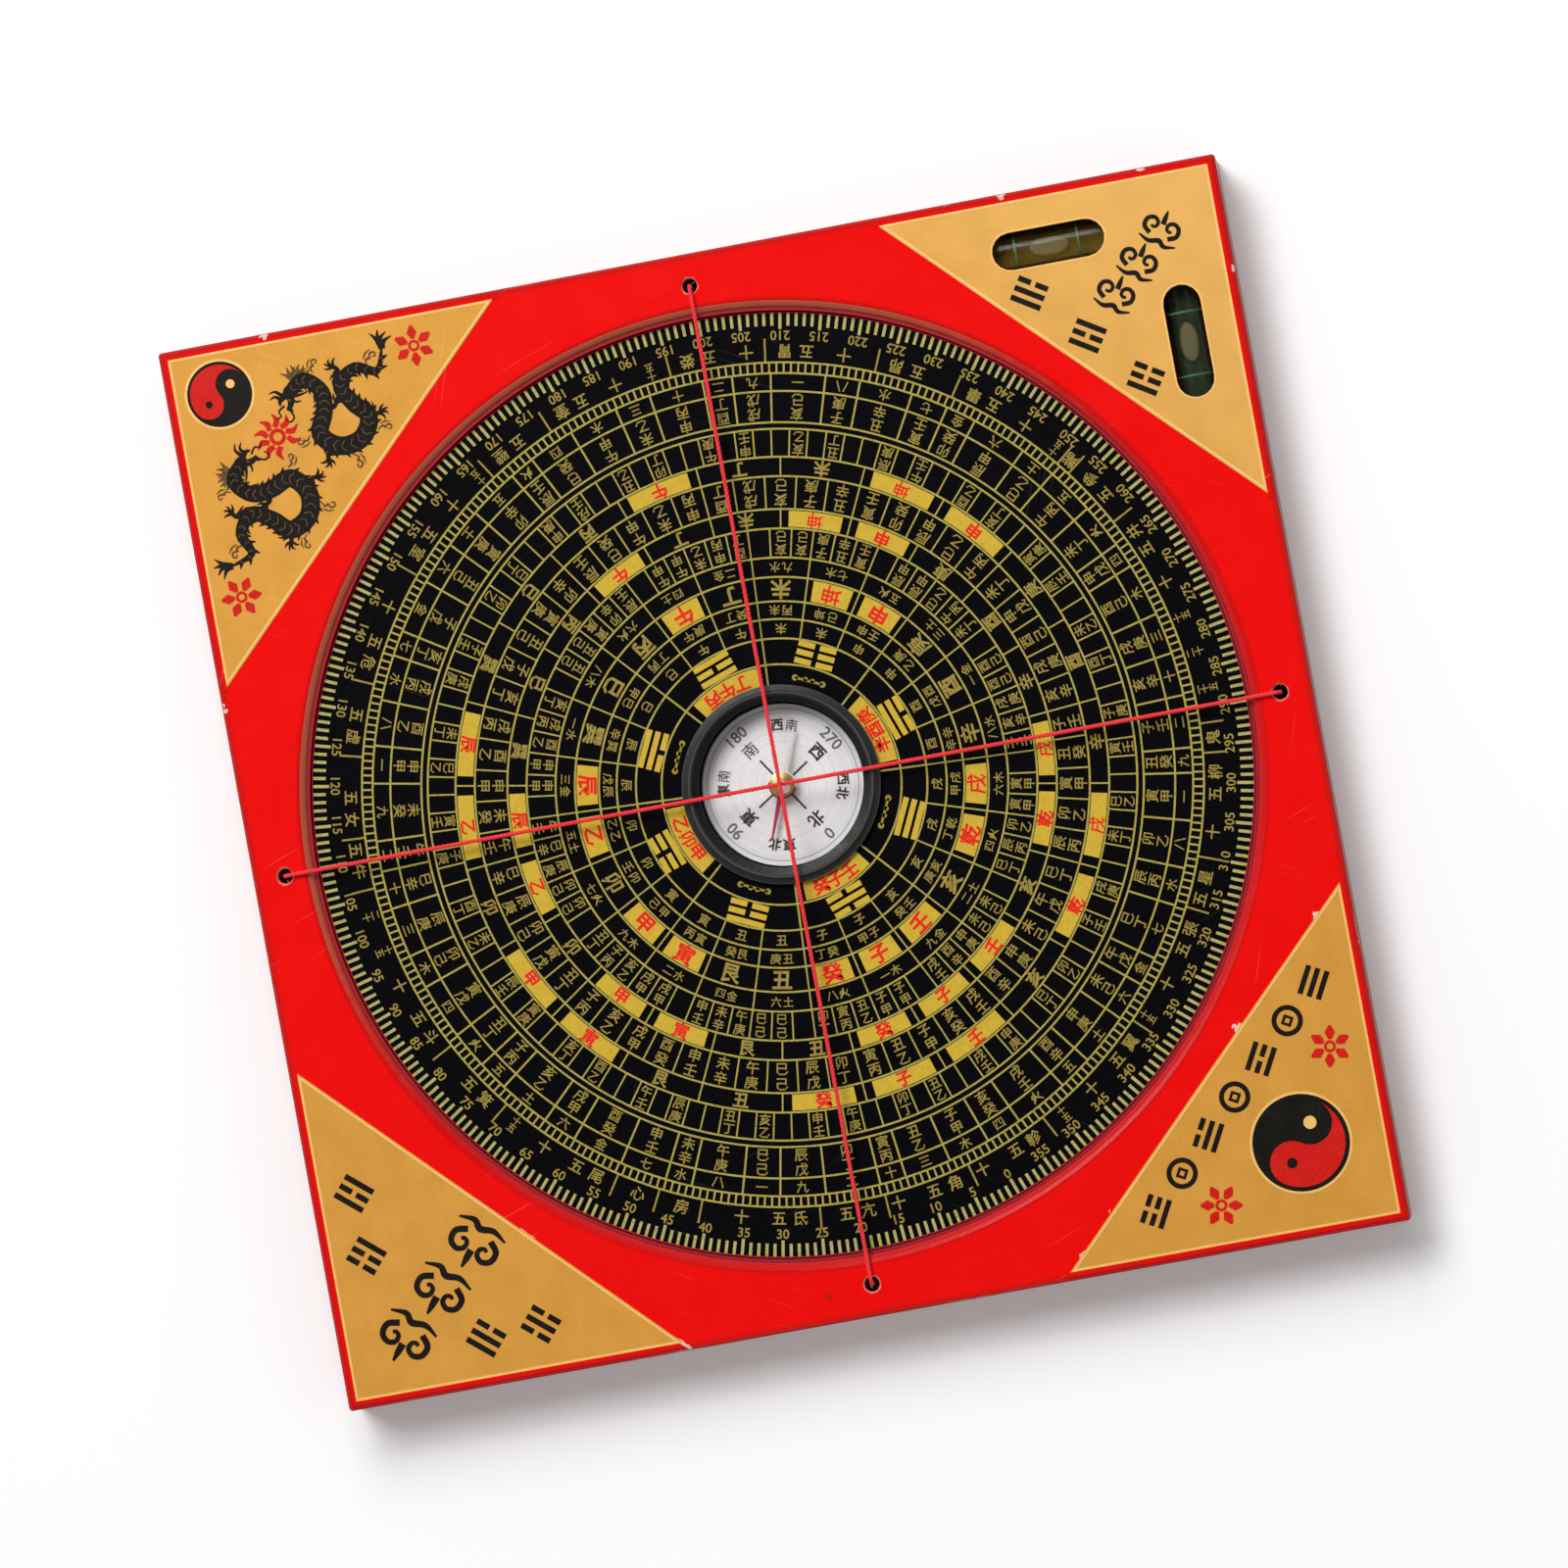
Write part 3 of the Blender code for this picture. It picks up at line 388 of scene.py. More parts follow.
class Bench:
    """Lays shader nodes in one tree and joins them. Its places and distances are in metres."""

    def __init__(self, tree: bpy.types.NodeTree) -> None:
        """Work on a material's, a world's or a group's node tree."""
        self.tree = tree

    @cached_property
    def place(self) -> Output:
        """The place on the object at rest."""
        return self.add("ShaderNodeTexCoord").outputs["Object"]

    @cached_property
    def axes(self) -> tuple[Output, ...]:
        """The place along X, Y and Z."""
        return tuple(self.add("ShaderNodeSeparateXYZ", {0: self.place}).outputs)

    @cached_property
    def sides(self) -> tuple[Output, ...]:
        """The distances from the board's middle along X and along Y."""
        return tuple(self.maths("ABSOLUTE", axis) for axis in self.axes[:2])

    def feed(self, socket: Output, value: Value) -> None:
        """Set an input socket to a constant, or link it.

        Args:
            socket: the input socket.
            value: the constant, or the output socket to link from.
        """
        if isinstance(value, Output):
            self.tree.links.new(value, socket)
        elif socket.type == "RGBA":
            socket.default_value = (*value, 1.0)
        else:
            socket.default_value = value

    def add(
        self, kind: str, inputs: dict[str | int, Value] | None = None, **settings: object
    ) -> bpy.types.Node:
        """Add a node.

        Args:
            kind: the node's type.
            inputs: what its sockets are fed with, by name or number.
            **settings: its other settings.

        Returns:
            The node.
        """
        node = self.tree.nodes.new(kind)
        for key, value in settings.items():
            setattr(node, key, value)
        for key, value in (inputs or {}).items():
            self.feed(node.inputs[key], value)
        return node

    def effect(self, effect: Effect, **inputs: Value) -> bpy.types.NodeOutputs:
        """Add a shared effect and return its outputs."""
        return self.add("ShaderNodeGroup", inputs, node_tree=bpy.data.node_groups[effect.value]).outputs

    def maths(self, operation: str, *values: Value) -> Output:
        """Return the result of a Math node."""
        return self.add("ShaderNodeMath", dict(enumerate(values)), operation=operation).outputs[0]

    def times(self, first: Value, second: Value) -> Output:
        """Return a product."""
        return self.maths("MULTIPLY", first, second)

    def most(self, first: Value, second: Value) -> Output:
        """Return the larger of two values."""
        return self.maths("MAXIMUM", first, second)

    def mix(self, share: Value, first: Value, last: Value) -> Output:
        """Return a mix of two colours with a share of the last one."""
        return self.add("ShaderNodeMix", {0: share, 6: first, 7: last}, data_type="RGBA").outputs[2]

    def fade(self, value: Value, low: float, high: float, first: Value = 0.0, last: Value = 1.0) -> Output:
        """Return a smooth step from a first result, below the low limit, to the last, above the high one."""
        inputs = {0: value, 1: low, 2: high, 3: first, 4: last}
        return self.add("ShaderNodeMapRange", inputs, interpolation_type="SMOOTHSTEP").outputs[0]

    def beyond(self, value: Value, limit: float, soft: float) -> Output:
        """Return 1 above a limit and 0 below it, with a soft step before it, all in millimetres."""
        return self.fade(value, (limit - soft) * MM, limit * MM)

    def within(self, value: Value, limit: float, soft: float, share: float = 1.0) -> Output:
        """Return a share below a limit and 0 above it, with a soft step before it, all in millimetres."""
        return self.fade(value, (limit - soft) * MM, limit * MM, share, 0.0)

    def noise(self, scale: Value, detail: float = MIDDLE_DETAIL, place: Value | None = None) -> Output:
        """Return a noise from 0 to 1, its scale in waves to the metre."""
        inputs = {"Vector": self.place if place is None else place, "Scale": scale, "Detail": detail}
        return self.add("ShaderNodeTexNoise", inputs).outputs["Fac"]

    def ragged(self, value: Value, reach: float, scale: float, detail: float = MIDDLE_DETAIL) -> Output:
        """Return a value that a noise adds up to a reach to."""
        return self.maths("MULTIPLY_ADD", self.noise(scale, detail), reach, value)

    def turned(self, place: Value, turn: float, **inputs: Value) -> Output:
        """Return a place turned about Z, in radians, and moved or scaled."""
        inputs |= {"Vector": place, "Rotation": Vector((0.0, 0.0, turn))}
        return self.add("ShaderNodeMapping", inputs).outputs[0]

    def toward(self, bearing: float) -> Output:
        """Return the place along a bearing, from the board's middle."""
        (x, y, _), (east, north) = self.axes, spot(1.0, bearing)
        return self.maths("MULTIPLY_ADD", x, east, self.times(y, north))

    def length(self, x: Value, y: Value, centre: Point = (0.0, 0.0)) -> Output:
        """Return the distance between a flat place and a centre.

        Args:
            x: the place along X.
            y: the place along Y.
            centre: the centre, in millimetres.

        Returns:
            The distance.
        """
        place = self.add("ShaderNodeCombineXYZ", {0: x, 1: y}).outputs[0]
        ends = {0: place, 1: Vector((*centre, 0.0)) * MM}
        return self.add("ShaderNodeVectorMath", ends, operation="DISTANCE").outputs["Value"]

    def away(self, centre: Point = (0.0, 0.0)) -> Output:
        """Return the distance from a place on the board, given in millimetres."""
        return self.length(*self.axes[:2], centre)


class Effects:
    """Builds the shader node groups, each once."""

    def __init__(self) -> None:
        """Build the groups."""
        for build in (self.build_mottle, self.build_scratches, self.build_edge_wear):
            build()

    @staticmethod
    def start(
        effect: Effect, inputs: dict[str, Socket], outputs: dict[str, Socket]
    ) -> tuple[Bench, bpy.types.NodeOutputs, bpy.types.NodeInputs]:
        """Start a node group.

        Args:
            effect: the effect that it makes.
            inputs: its input sockets.
            outputs: its output sockets.

        Returns:
            A bench on its tree, what comes into the group, and where its results go.
        """
        tree = bpy.data.node_groups.new(effect.value, "ShaderNodeTree")
        for direction, sockets in (("INPUT", inputs), ("OUTPUT", outputs)):
            for label, kind in sockets.items():
                tree.interface.new_socket(label, in_out=direction, socket_type=kind.value)
        bench = Bench(tree)
        return bench, bench.add("NodeGroupInput").outputs, bench.add("NodeGroupOutput").inputs

    def build_mottle(self) -> None:
        """Build the group for uneven colour, with a fine height for bumps."""
        inputs = {"Colour": Socket.COLOUR, "Scale": Socket.FLOAT, "Strength": Socket.FLOAT}
        outputs = {"Colour": Socket.COLOUR, "Mask": Socket.FLOAT, "Height": Socket.FLOAT}
        bench, given, result = self.start(Effect.MOTTLE, inputs, outputs)
        fine_factor = 5.0
        broad = bench.noise(given["Scale"])
        fine = bench.noise(bench.times(given["Scale"], fine_factor), LITTLE_DETAIL)
        uneven = bench.maths("SUBTRACT", bench.maths("ADD", broad, fine), 1.0)
        level = bench.maths("MULTIPLY_ADD", uneven, given["Strength"], 1.0)
        scaled = bench.add("ShaderNodeVectorMath", {0: given["Colour"], "Scale": level}, operation="SCALE")
        bench.feed(result["Colour"], scaled.outputs[0])
        bench.feed(result["Mask"], broad)
        bench.feed(result["Height"], fine)

    def build_scratches(self) -> None:
        """Build the group for hair-thin scratches in three directions."""
        bench, given, result = self.start(Effect.SCRATCHES, {"Scale": Socket.FLOAT}, {"Mask": Socket.FLOAT})
        stretch, patch_scale = Vector((0.02, 1.0, 1.0)), 40.0
        line_limits, patch_limits = (0.70, 0.78), (0.55, 0.70)
        turns_and_offsets = (0.5, 0.0), (1.9, 0.03), (2.8, 0.07)
        total: Value = 0.0
        for turn, offset in turns_and_offsets:
            turned = bench.turned(bench.place, turn, Location=Vector((offset, offset, 0.0)))
            stretched = bench.turned(turned, 0.0, Scale=stretch)
            lines = bench.fade(bench.noise(given["Scale"], LEAST_DETAIL, stretched), *line_limits)
            patches = bench.fade(bench.noise(patch_scale, LEAST_DETAIL, turned), *patch_limits)
            total = bench.most(total, bench.times(lines, patches))
        bench.feed(result["Mask"], total)

    def build_edge_wear(self) -> None:
        """Build the group for wear that grows towards the board's four sides, Reach metres wide."""
        inputs = {"Reach": Socket.FLOAT, "Amount": Socket.FLOAT}
        bench, given, result = self.start(Effect.EDGE_WEAR, inputs, {"Mask": Socket.FLOAT})
        unevenness, noise_scale, limits = 0.9, 900.0, (1.0, 1.25)
        inside = bench.maths("SUBTRACT", HALF_BOARD * MM, bench.most(*bench.sides))
        near = bench.maths("SUBTRACT", 1.0, bench.maths("DIVIDE", inside, given["Reach"]))
        ragged = bench.ragged(near, unevenness, noise_scale, MUCH_DETAIL)
        bench.feed(result["Mask"], bench.times(bench.fade(ragged, *limits), given["Amount"]))


@dataclass(frozen=True)
class Finish:
    """A plain finish: one colour made uneven, with fine scratches and a fine bump.

    The coat and the sheen are each a weight and a roughness.
    """

    name: str
    colour: Colour
    roughness: float = 0.5
    metallic: float = 0.0
    specular: float = 0.5
    mottle: float = 0.12
    grain: float = 300.0
    bump: float = 0.00001
    scratch_share: float = 0.0
    scratch_colour: Colour = (0.8, 0.75, 0.7)
    scratch_scale: float = 2500.0
    scratch_roughness: float = 0.15
    roughness_spread: float = 0.15
    mask_limits: Pair = (0.2, 0.8)
    coat: Pair = (0.0, 0.03)
    sheen: Pair = (0.0, 0.5)
    clearness: float = 0.0
    ior: float = 1.5
    alpha: float = 1.0

    def paint(self, bench: Bench, colour: Value) -> Value:
        """Return the colour with what this finish adds to it; here, nothing."""
        return colour

    @cache
    def material(self) -> bpy.types.Material:
        """Make the finish at its first use.

        Returns:
            The material.
        """
        material = bpy.data.materials.new(self.name)
        material.use_nodes = True
        bench = Bench(material.node_tree)
        shader = material.node_tree.nodes["Principled BSDF"]
        mottle = bench.effect(Effect.MOTTLE, Colour=self.colour, Scale=self.grain, Strength=self.mottle)
        colour = self.paint(bench, mottle["Colour"])
        smoothest, roughest = (self.roughness * (1.0 + side * self.roughness_spread) for side in (-1.0, 1.0))
        roughness = bench.fade(mottle["Mask"], *self.mask_limits, smoothest, roughest)
        if self.scratch_share:
            lines = bench.effect(Effect.SCRATCHES, Scale=self.scratch_scale)["Mask"]
            colour = bench.mix(bench.times(lines, self.scratch_share), colour, self.scratch_colour)
            roughness = bench.maths("MULTIPLY_ADD", lines, self.scratch_roughness, roughness)
        height = bench.add("ShaderNodeBump", {"Height": mottle["Height"], "Distance": self.bump})
        bench.feed(shader.inputs["Base Color"], colour)
        bench.feed(shader.inputs["Roughness"], roughness)
        bench.feed(shader.inputs["Normal"], height.outputs[0])
        constants = {
            "Metallic": self.metallic, "Specular IOR Level": self.specular,
            "Transmission Weight": self.clearness, "IOR": self.ior, "Alpha": self.alpha,
            "Coat Weight": self.coat[0], "Coat Roughness": self.coat[1],
            "Sheen Weight": self.sheen[0], "Sheen Roughness": self.sheen[1],
        }
        for key, value in constants.items():
            bench.feed(shader.inputs[key], value)
        return material


@dataclass(frozen=True)
class Lacquer(Finish):
    """Red lacquer with painted shade on its border, edges and rounded well rim, a brown painted shade and a
    pinkish painted light on the rim's two sides, a darker well wall, and near-black painted shade in the
    pockets.

    Each nick is the X and Y of a chip in the board's edge and its radius.
    """

    coat: Pair = (0.05, 0.12)
    # Painted shade: the border and edge colours darken the board's outer 1.5 mm as the dark reflection of its
    # rounded edges.
    border_colour: Colour = (0.60, 0.008, 0.006)
    border_inset: float = 1.5
    edge_colour: Colour = (0.36, 0.008, 0.007)
    edge_width: float = 0.5
    # Painted shade: a darker red on the well's rounded rim.
    round_colour: Colour = (0.60, 0.005, 0.005)
    round_radius: float = 86.3
    round_fade: float = 0.8
    stain_colour: Colour = (0.40, 0.012, 0.006)
    stain_place: Point = (-7.8, -90.2)
    stain_radius: float = 1.1
    stain_share: float = 0.7
    # Painted shade and light on the well's rim: brown painted shade, as of a worn chamfer in shade, on the side
    # towards the key light's bearing, where the slope faces away from it, and a pinkish painted highlight of
    # the lit slope on the other side.
    worn_colour: Colour = (0.44, 0.090, 0.048)
    worn_radius: float = 85.35
    worn_bearing: float = -35.0
    worn_limits: Pair = (0.02, 0.065)
    worn_raggedness: float = 0.03
    worn_scale: float = 350.0
    rim_colour: Colour = (0.55, 0.030, 0.040)
    rim_radius: float = 84.5
    wall_colour: Colour = (0.36, 0.010, 0.020)
    wall_radius: float = 84.2
    wall_fade: float = 0.2
    # Painted shade: near-black, as of bare board in shade, in the vials' pockets and the corner seats.
    bare_colour: Colour = (0.060, 0.042, 0.016)
    pocket_depth: float = 1.2
    pocket_radius: float = 87.2
    pocket_reach: float = 94.7
    pocket_edge: float = 0.1
    # A painted glint, with scuffs, round the string holes.
    hole_colour: Colour = (0.80, 0.30, 0.26)
    hole_reach: float = 89.3
    hole_rim_radius: float = 2.1
    hole_rim_fade: float = 0.3
    hole_share: float = 0.75
    hole_raggedness: float = 0.8
    hole_scale: float = 1100.0
    chip_colour: Colour = (0.85, 0.66, 0.56)
    chip_depth: float = 0.35
    chip_reach: float = 0.45
    chip_share: float = 0.8
    corner_sum: float = 128.3
    corner_chip_reach: float = 0.95
    corner_chip_fade: float = 0.15
    corner_raggedness: float = 0.9
    corner_scale: float = 900.0
    rare_scale: float = 60.0
    rare_limits: Pair = (0.66, 0.69)
    nick_scale: float = 1300.0
    nick_limits: Pair = (0.3, 0.7)
    nick_raggedness: float = 0.45
    nick_fade: float = 0.15
    nick_share: float = 0.85
    nicks: tuple[Place, ...] = (
        (-75.8, 94.7, 0.7), (56.8, 94.8, 0.6), (81.8, 94.8, 0.7), (94.8, 74.5, 0.6), (47.4, 94.9, 0.4),
        (71.6, -56.6, 1.0), (44.0, -84.6, 0.7), (88.4, -39.6, 0.6), (37.6, -91.0, 0.6), (-94.9, 31.0, 0.6),
    )

    def paint(self, bench: Bench, colour: Value) -> Value:
        """Return the lacquer with its painted shade and painted light, its hole glints, its stain and its
        chips.

        Args:
            bench: a bench on the material's tree.
            colour: the uneven red.

        Returns:
            The colour to show.
        """
        far, radius = bench.most(*bench.sides), bench.away()
        # The rim's painted shade and painted light are split along the key light's bearing.
        patchy = bench.ragged(bench.toward(self.worn_bearing), self.worn_raggedness, self.worn_scale)
        shaded_rim_side = bench.fade(patchy, *self.worn_limits)
        lit_rim_side = bench.fade(patchy, *self.worn_limits[::-1])
        border, stain_fade = self.border_inset / 2, self.stain_radius * 2 / 3
        stained = bench.within(bench.away(self.stain_place), self.stain_radius, stain_fade, self.stain_share)
        for mask, shade in (
            # painted shade at the board's border and outer edge
            (bench.beyond(far, HALF_BOARD - border, border), self.border_colour),
            (bench.beyond(far, HALF_BOARD, self.edge_width), self.edge_colour),
            # painted shade on the well's rounded rim
            (bench.within(radius, self.round_radius, self.round_fade), self.round_colour),
            (stained, self.stain_colour),
            # brown painted shade and pinkish painted light on the rim's two sides
            (bench.times(bench.within(radius, self.worn_radius, self.wall_fade), shaded_rim_side), self.worn_colour),
            (bench.times(bench.within(radius, self.rim_radius, self.wall_fade), lit_rim_side), self.rim_colour),
            (bench.within(radius, self.wall_radius, self.wall_fade), self.wall_colour),
            # painted shade in the pockets
            (self.pockets(bench, far, radius), self.bare_colour),
            (self.hole_rims(bench), self.hole_colour),
            (self.chips(bench), self.chip_colour),
        ):
            colour = bench.mix(mask, colour, shade)
        return colour

    def pockets(self, bench: Bench, far: Value, radius: Value) -> Value:
        """Return where the vials' pockets and the corner seats get their painted shade, near-black as of bare
        board.

        Args:
            bench: a bench on the material's tree.
            far: the larger distance from the middle, along X or Y.
            radius: the distance from the middle.

        Returns:
            The mask.
        """
        half_depth = self.pocket_depth / 2
        deep = bench.within(bench.axes[2], span("frame_plate")[1].z - half_depth, half_depth)
        inside = bench.times(deep, bench.within(far, self.pocket_reach, self.pocket_edge))
        return bench.times(inside, bench.beyond(radius, self.pocket_radius, self.wall_fade))

    def hole_rims(self, bench: Bench) -> Value:
        """Return the string holes' pale rims: a painted glint with scuffs.

        Args:
            bench: a bench on the material's tree.

        Returns:
            The mask.
        """
        along = bench.maths("SUBTRACT", bench.most(*bench.sides), self.hole_reach * MM)
        radius = bench.length(along, bench.maths("MINIMUM", *bench.sides))
        ragged = bench.ragged(radius, self.hole_raggedness * MM, self.hole_scale)
        return bench.within(ragged, self.hole_rim_radius, self.hole_rim_fade, self.hole_share)

    def chips(self, bench: Bench) -> Value:
        """Return where the lacquer is chipped: at the board's upper edge and beside the corner plates.

        Args:
            bench: a bench on the material's tree.

        Returns:
            The mask.
        """
        edge = bench.effect(Effect.EDGE_WEAR, Reach=self.chip_reach * MM, Amount=self.chip_share)["Mask"]
        from_seat = bench.maths("SUBTRACT", bench.maths("ADD", *bench.sides), self.corner_sum * MM)
        seat = bench.ragged(
            bench.maths("ABSOLUTE", from_seat), self.corner_raggedness * MM, self.corner_scale, MORE_DETAIL
        )
        beside = bench.within(seat, self.corner_chip_reach, self.corner_chip_fade, self.chip_share)
        rare = bench.fade(bench.noise(self.rare_scale, LEAST_DETAIL), *self.rare_limits)
        mask = bench.times(bench.most(edge, beside), rare)
        raggedness = self.nick_raggedness * MM
        rough = bench.fade(bench.noise(self.nick_scale), *self.nick_limits, -raggedness, raggedness)
        for *place, radius in self.nicks:
            distance = bench.maths("ADD", bench.away(place), rough)
            mask = bench.most(mask, bench.within(distance, radius, self.nick_fade, self.nick_share))
        half_depth = self.chip_depth / 2
        near_top = bench.beyond(bench.axes[2], span("frame_plate")[1].z - half_depth, half_depth)
        return bench.times(mask, near_top)


@dataclass(frozen=True)
class PaintedBoard(Finish):
    """Dark red paint on board, rubbed through to brown along the sides."""

    bare_colour: Colour = (0.20, 0.085, 0.04)
    wear_reach: float = 0.9
    wear_amount: float = 0.5
    patch_scale: float = 90.0
    patch_limits: Pair = (0.5, 0.75)

    def paint(self, bench: Bench, colour: Value) -> Value:
        """Return the paint with its rubbed sides.

        Args:
            bench: a bench on the material's tree.
            colour: the uneven paint.

        Returns:
            The colour to show.
        """
        worn = bench.effect(Effect.EDGE_WEAR, Reach=self.wear_reach * MM, Amount=self.wear_amount)["Mask"]
        patches = bench.fade(bench.noise(self.patch_scale, MOST_DETAIL), *self.patch_limits)
        return bench.mix(bench.times(worn, patches), colour, self.bare_colour)


@dataclass(frozen=True)
class GoldFoil(Finish):
    """Satin gold with a fine brushed grain that runs one way, and a painted sheen that grows towards +X +Y."""

    grain_colour: Colour = (0.95, 0.58, 0.17)
    grain_share: float = 0.07
    grain_stretch: float = 0.06
    grain_turn: float = 0.2
    grain_scale: float = 3500.0
    grain_limits: Pair = (0.35, 0.75)
    # Painted sheen: a paler gold towards +X +Y, standing in for the light's reflection on the foil.
    sheen_colour: Colour = (1.0, 0.62, 0.20)
    sheen_share: float = 0.4
    sheen_limits: Pair = (0.06, 0.18)

    def paint(self, bench: Bench, colour: Value) -> Value:
        """Return the gold with its brushed grain and its painted sheen.

        Args:
            bench: a bench on the material's tree.
            colour: the uneven gold.

        Returns:
            The colour to show.
        """
        brushed = bench.turned(bench.place, self.grain_turn, Scale=Vector((1.0, self.grain_stretch, 1.0)))
        noise = bench.noise(self.grain_scale, LITTLE_DETAIL, brushed)
        grain = bench.fade(noise, *self.grain_limits, 0.0, self.grain_share)
        # painted sheen
        sheen = bench.fade(bench.maths("ADD", *bench.axes[:2]), *self.sheen_limits, 0.0, self.sheen_share)
        return bench.mix(sheen, bench.mix(grain, colour, self.grain_colour), self.sheen_colour)


@dataclass(frozen=True)
class Ink(Finish):
    """Printed colour that lets a little of what is under it through."""

    under_colour: Colour = (0.02, 0.018, 0.01)
    gap_scale: float = 2600.0
    gap_share: float = 0.35
    gap_limits: Pair = (0.52, 0.72)

    def paint(self, bench: Bench, colour: Value) -> Value:
        """Return the ink with its pinholes."""
        gaps = bench.fade(bench.noise(self.gap_scale, LITTLE_DETAIL), *self.gap_limits, 0.0, self.gap_share)
        return bench.mix(gaps, colour, self.under_colour)


@dataclass(frozen=True)
class TurnedFace(Finish):
    """A surface with faint circles about the dial's middle, as turned or moulded discs have.

    It may have bands of other colours about a middle, each given as inner radius, outer radius and colour.
    """

    circle_colour: Colour = (0.45, 0.44, 0.44)
    circle_share: float = 0.25
    circles: float = 2400.0
    circle_limits: Pair = (0.3, 0.8)
    bands: tuple[tuple[float, float, Colour], ...] = ()
    middle: Point = (0.0, 0.0)
    band_fade: float = 0.1

    def paint(self, bench: Bench, colour: Value) -> Value:
        """Return the colour with its circles and bands.

        Args:
            bench: a bench on the material's tree.
            colour: the uneven colour.

        Returns:
            The colour to show.
        """
        along = bench.add("ShaderNodeCombineXYZ", {0: bench.away()}).outputs[0]
        noise = bench.noise(self.circles, LITTLE_DETAIL, along)
        rings = bench.fade(noise, *self.circle_limits, 0.0, self.circle_share)
        colour = bench.mix(rings, colour, self.circle_colour)
        radius = bench.away(self.middle)
        for inner, outer, shade in self.bands:
            inside = bench.within(radius, outer, self.band_fade)
            mask = bench.times(bench.beyond(radius, inner, self.band_fade), inside)
            colour = bench.mix(mask, colour, shade)
        return colour


@dataclass(frozen=True)
class NeedlePaint(Finish):
    """Needle paint: one colour on the half that points along a bearing and white on the other."""

    other_colour: Colour = (0.82, 0.80, 0.78)
    bearing: float = 201.0
    seam: float = 0.1

    def paint(self, bench: Bench, colour: Value) -> Value:
        """Return the colour of the needle's two halves."""
        other_half = bench.within(bench.toward(self.bearing), self.seam, 2 * self.seam)
        return bench.mix(other_half, colour, self.other_colour)


@dataclass(frozen=True)
class Clear(Finish):
    """Glass, clear plastic or liquid, which lets some light straight through."""

    specular: float = 0.25
    bump: float = 0.0
    clearness: float = 1.0
    ior: float = 1.45
    alpha: float = 0.3


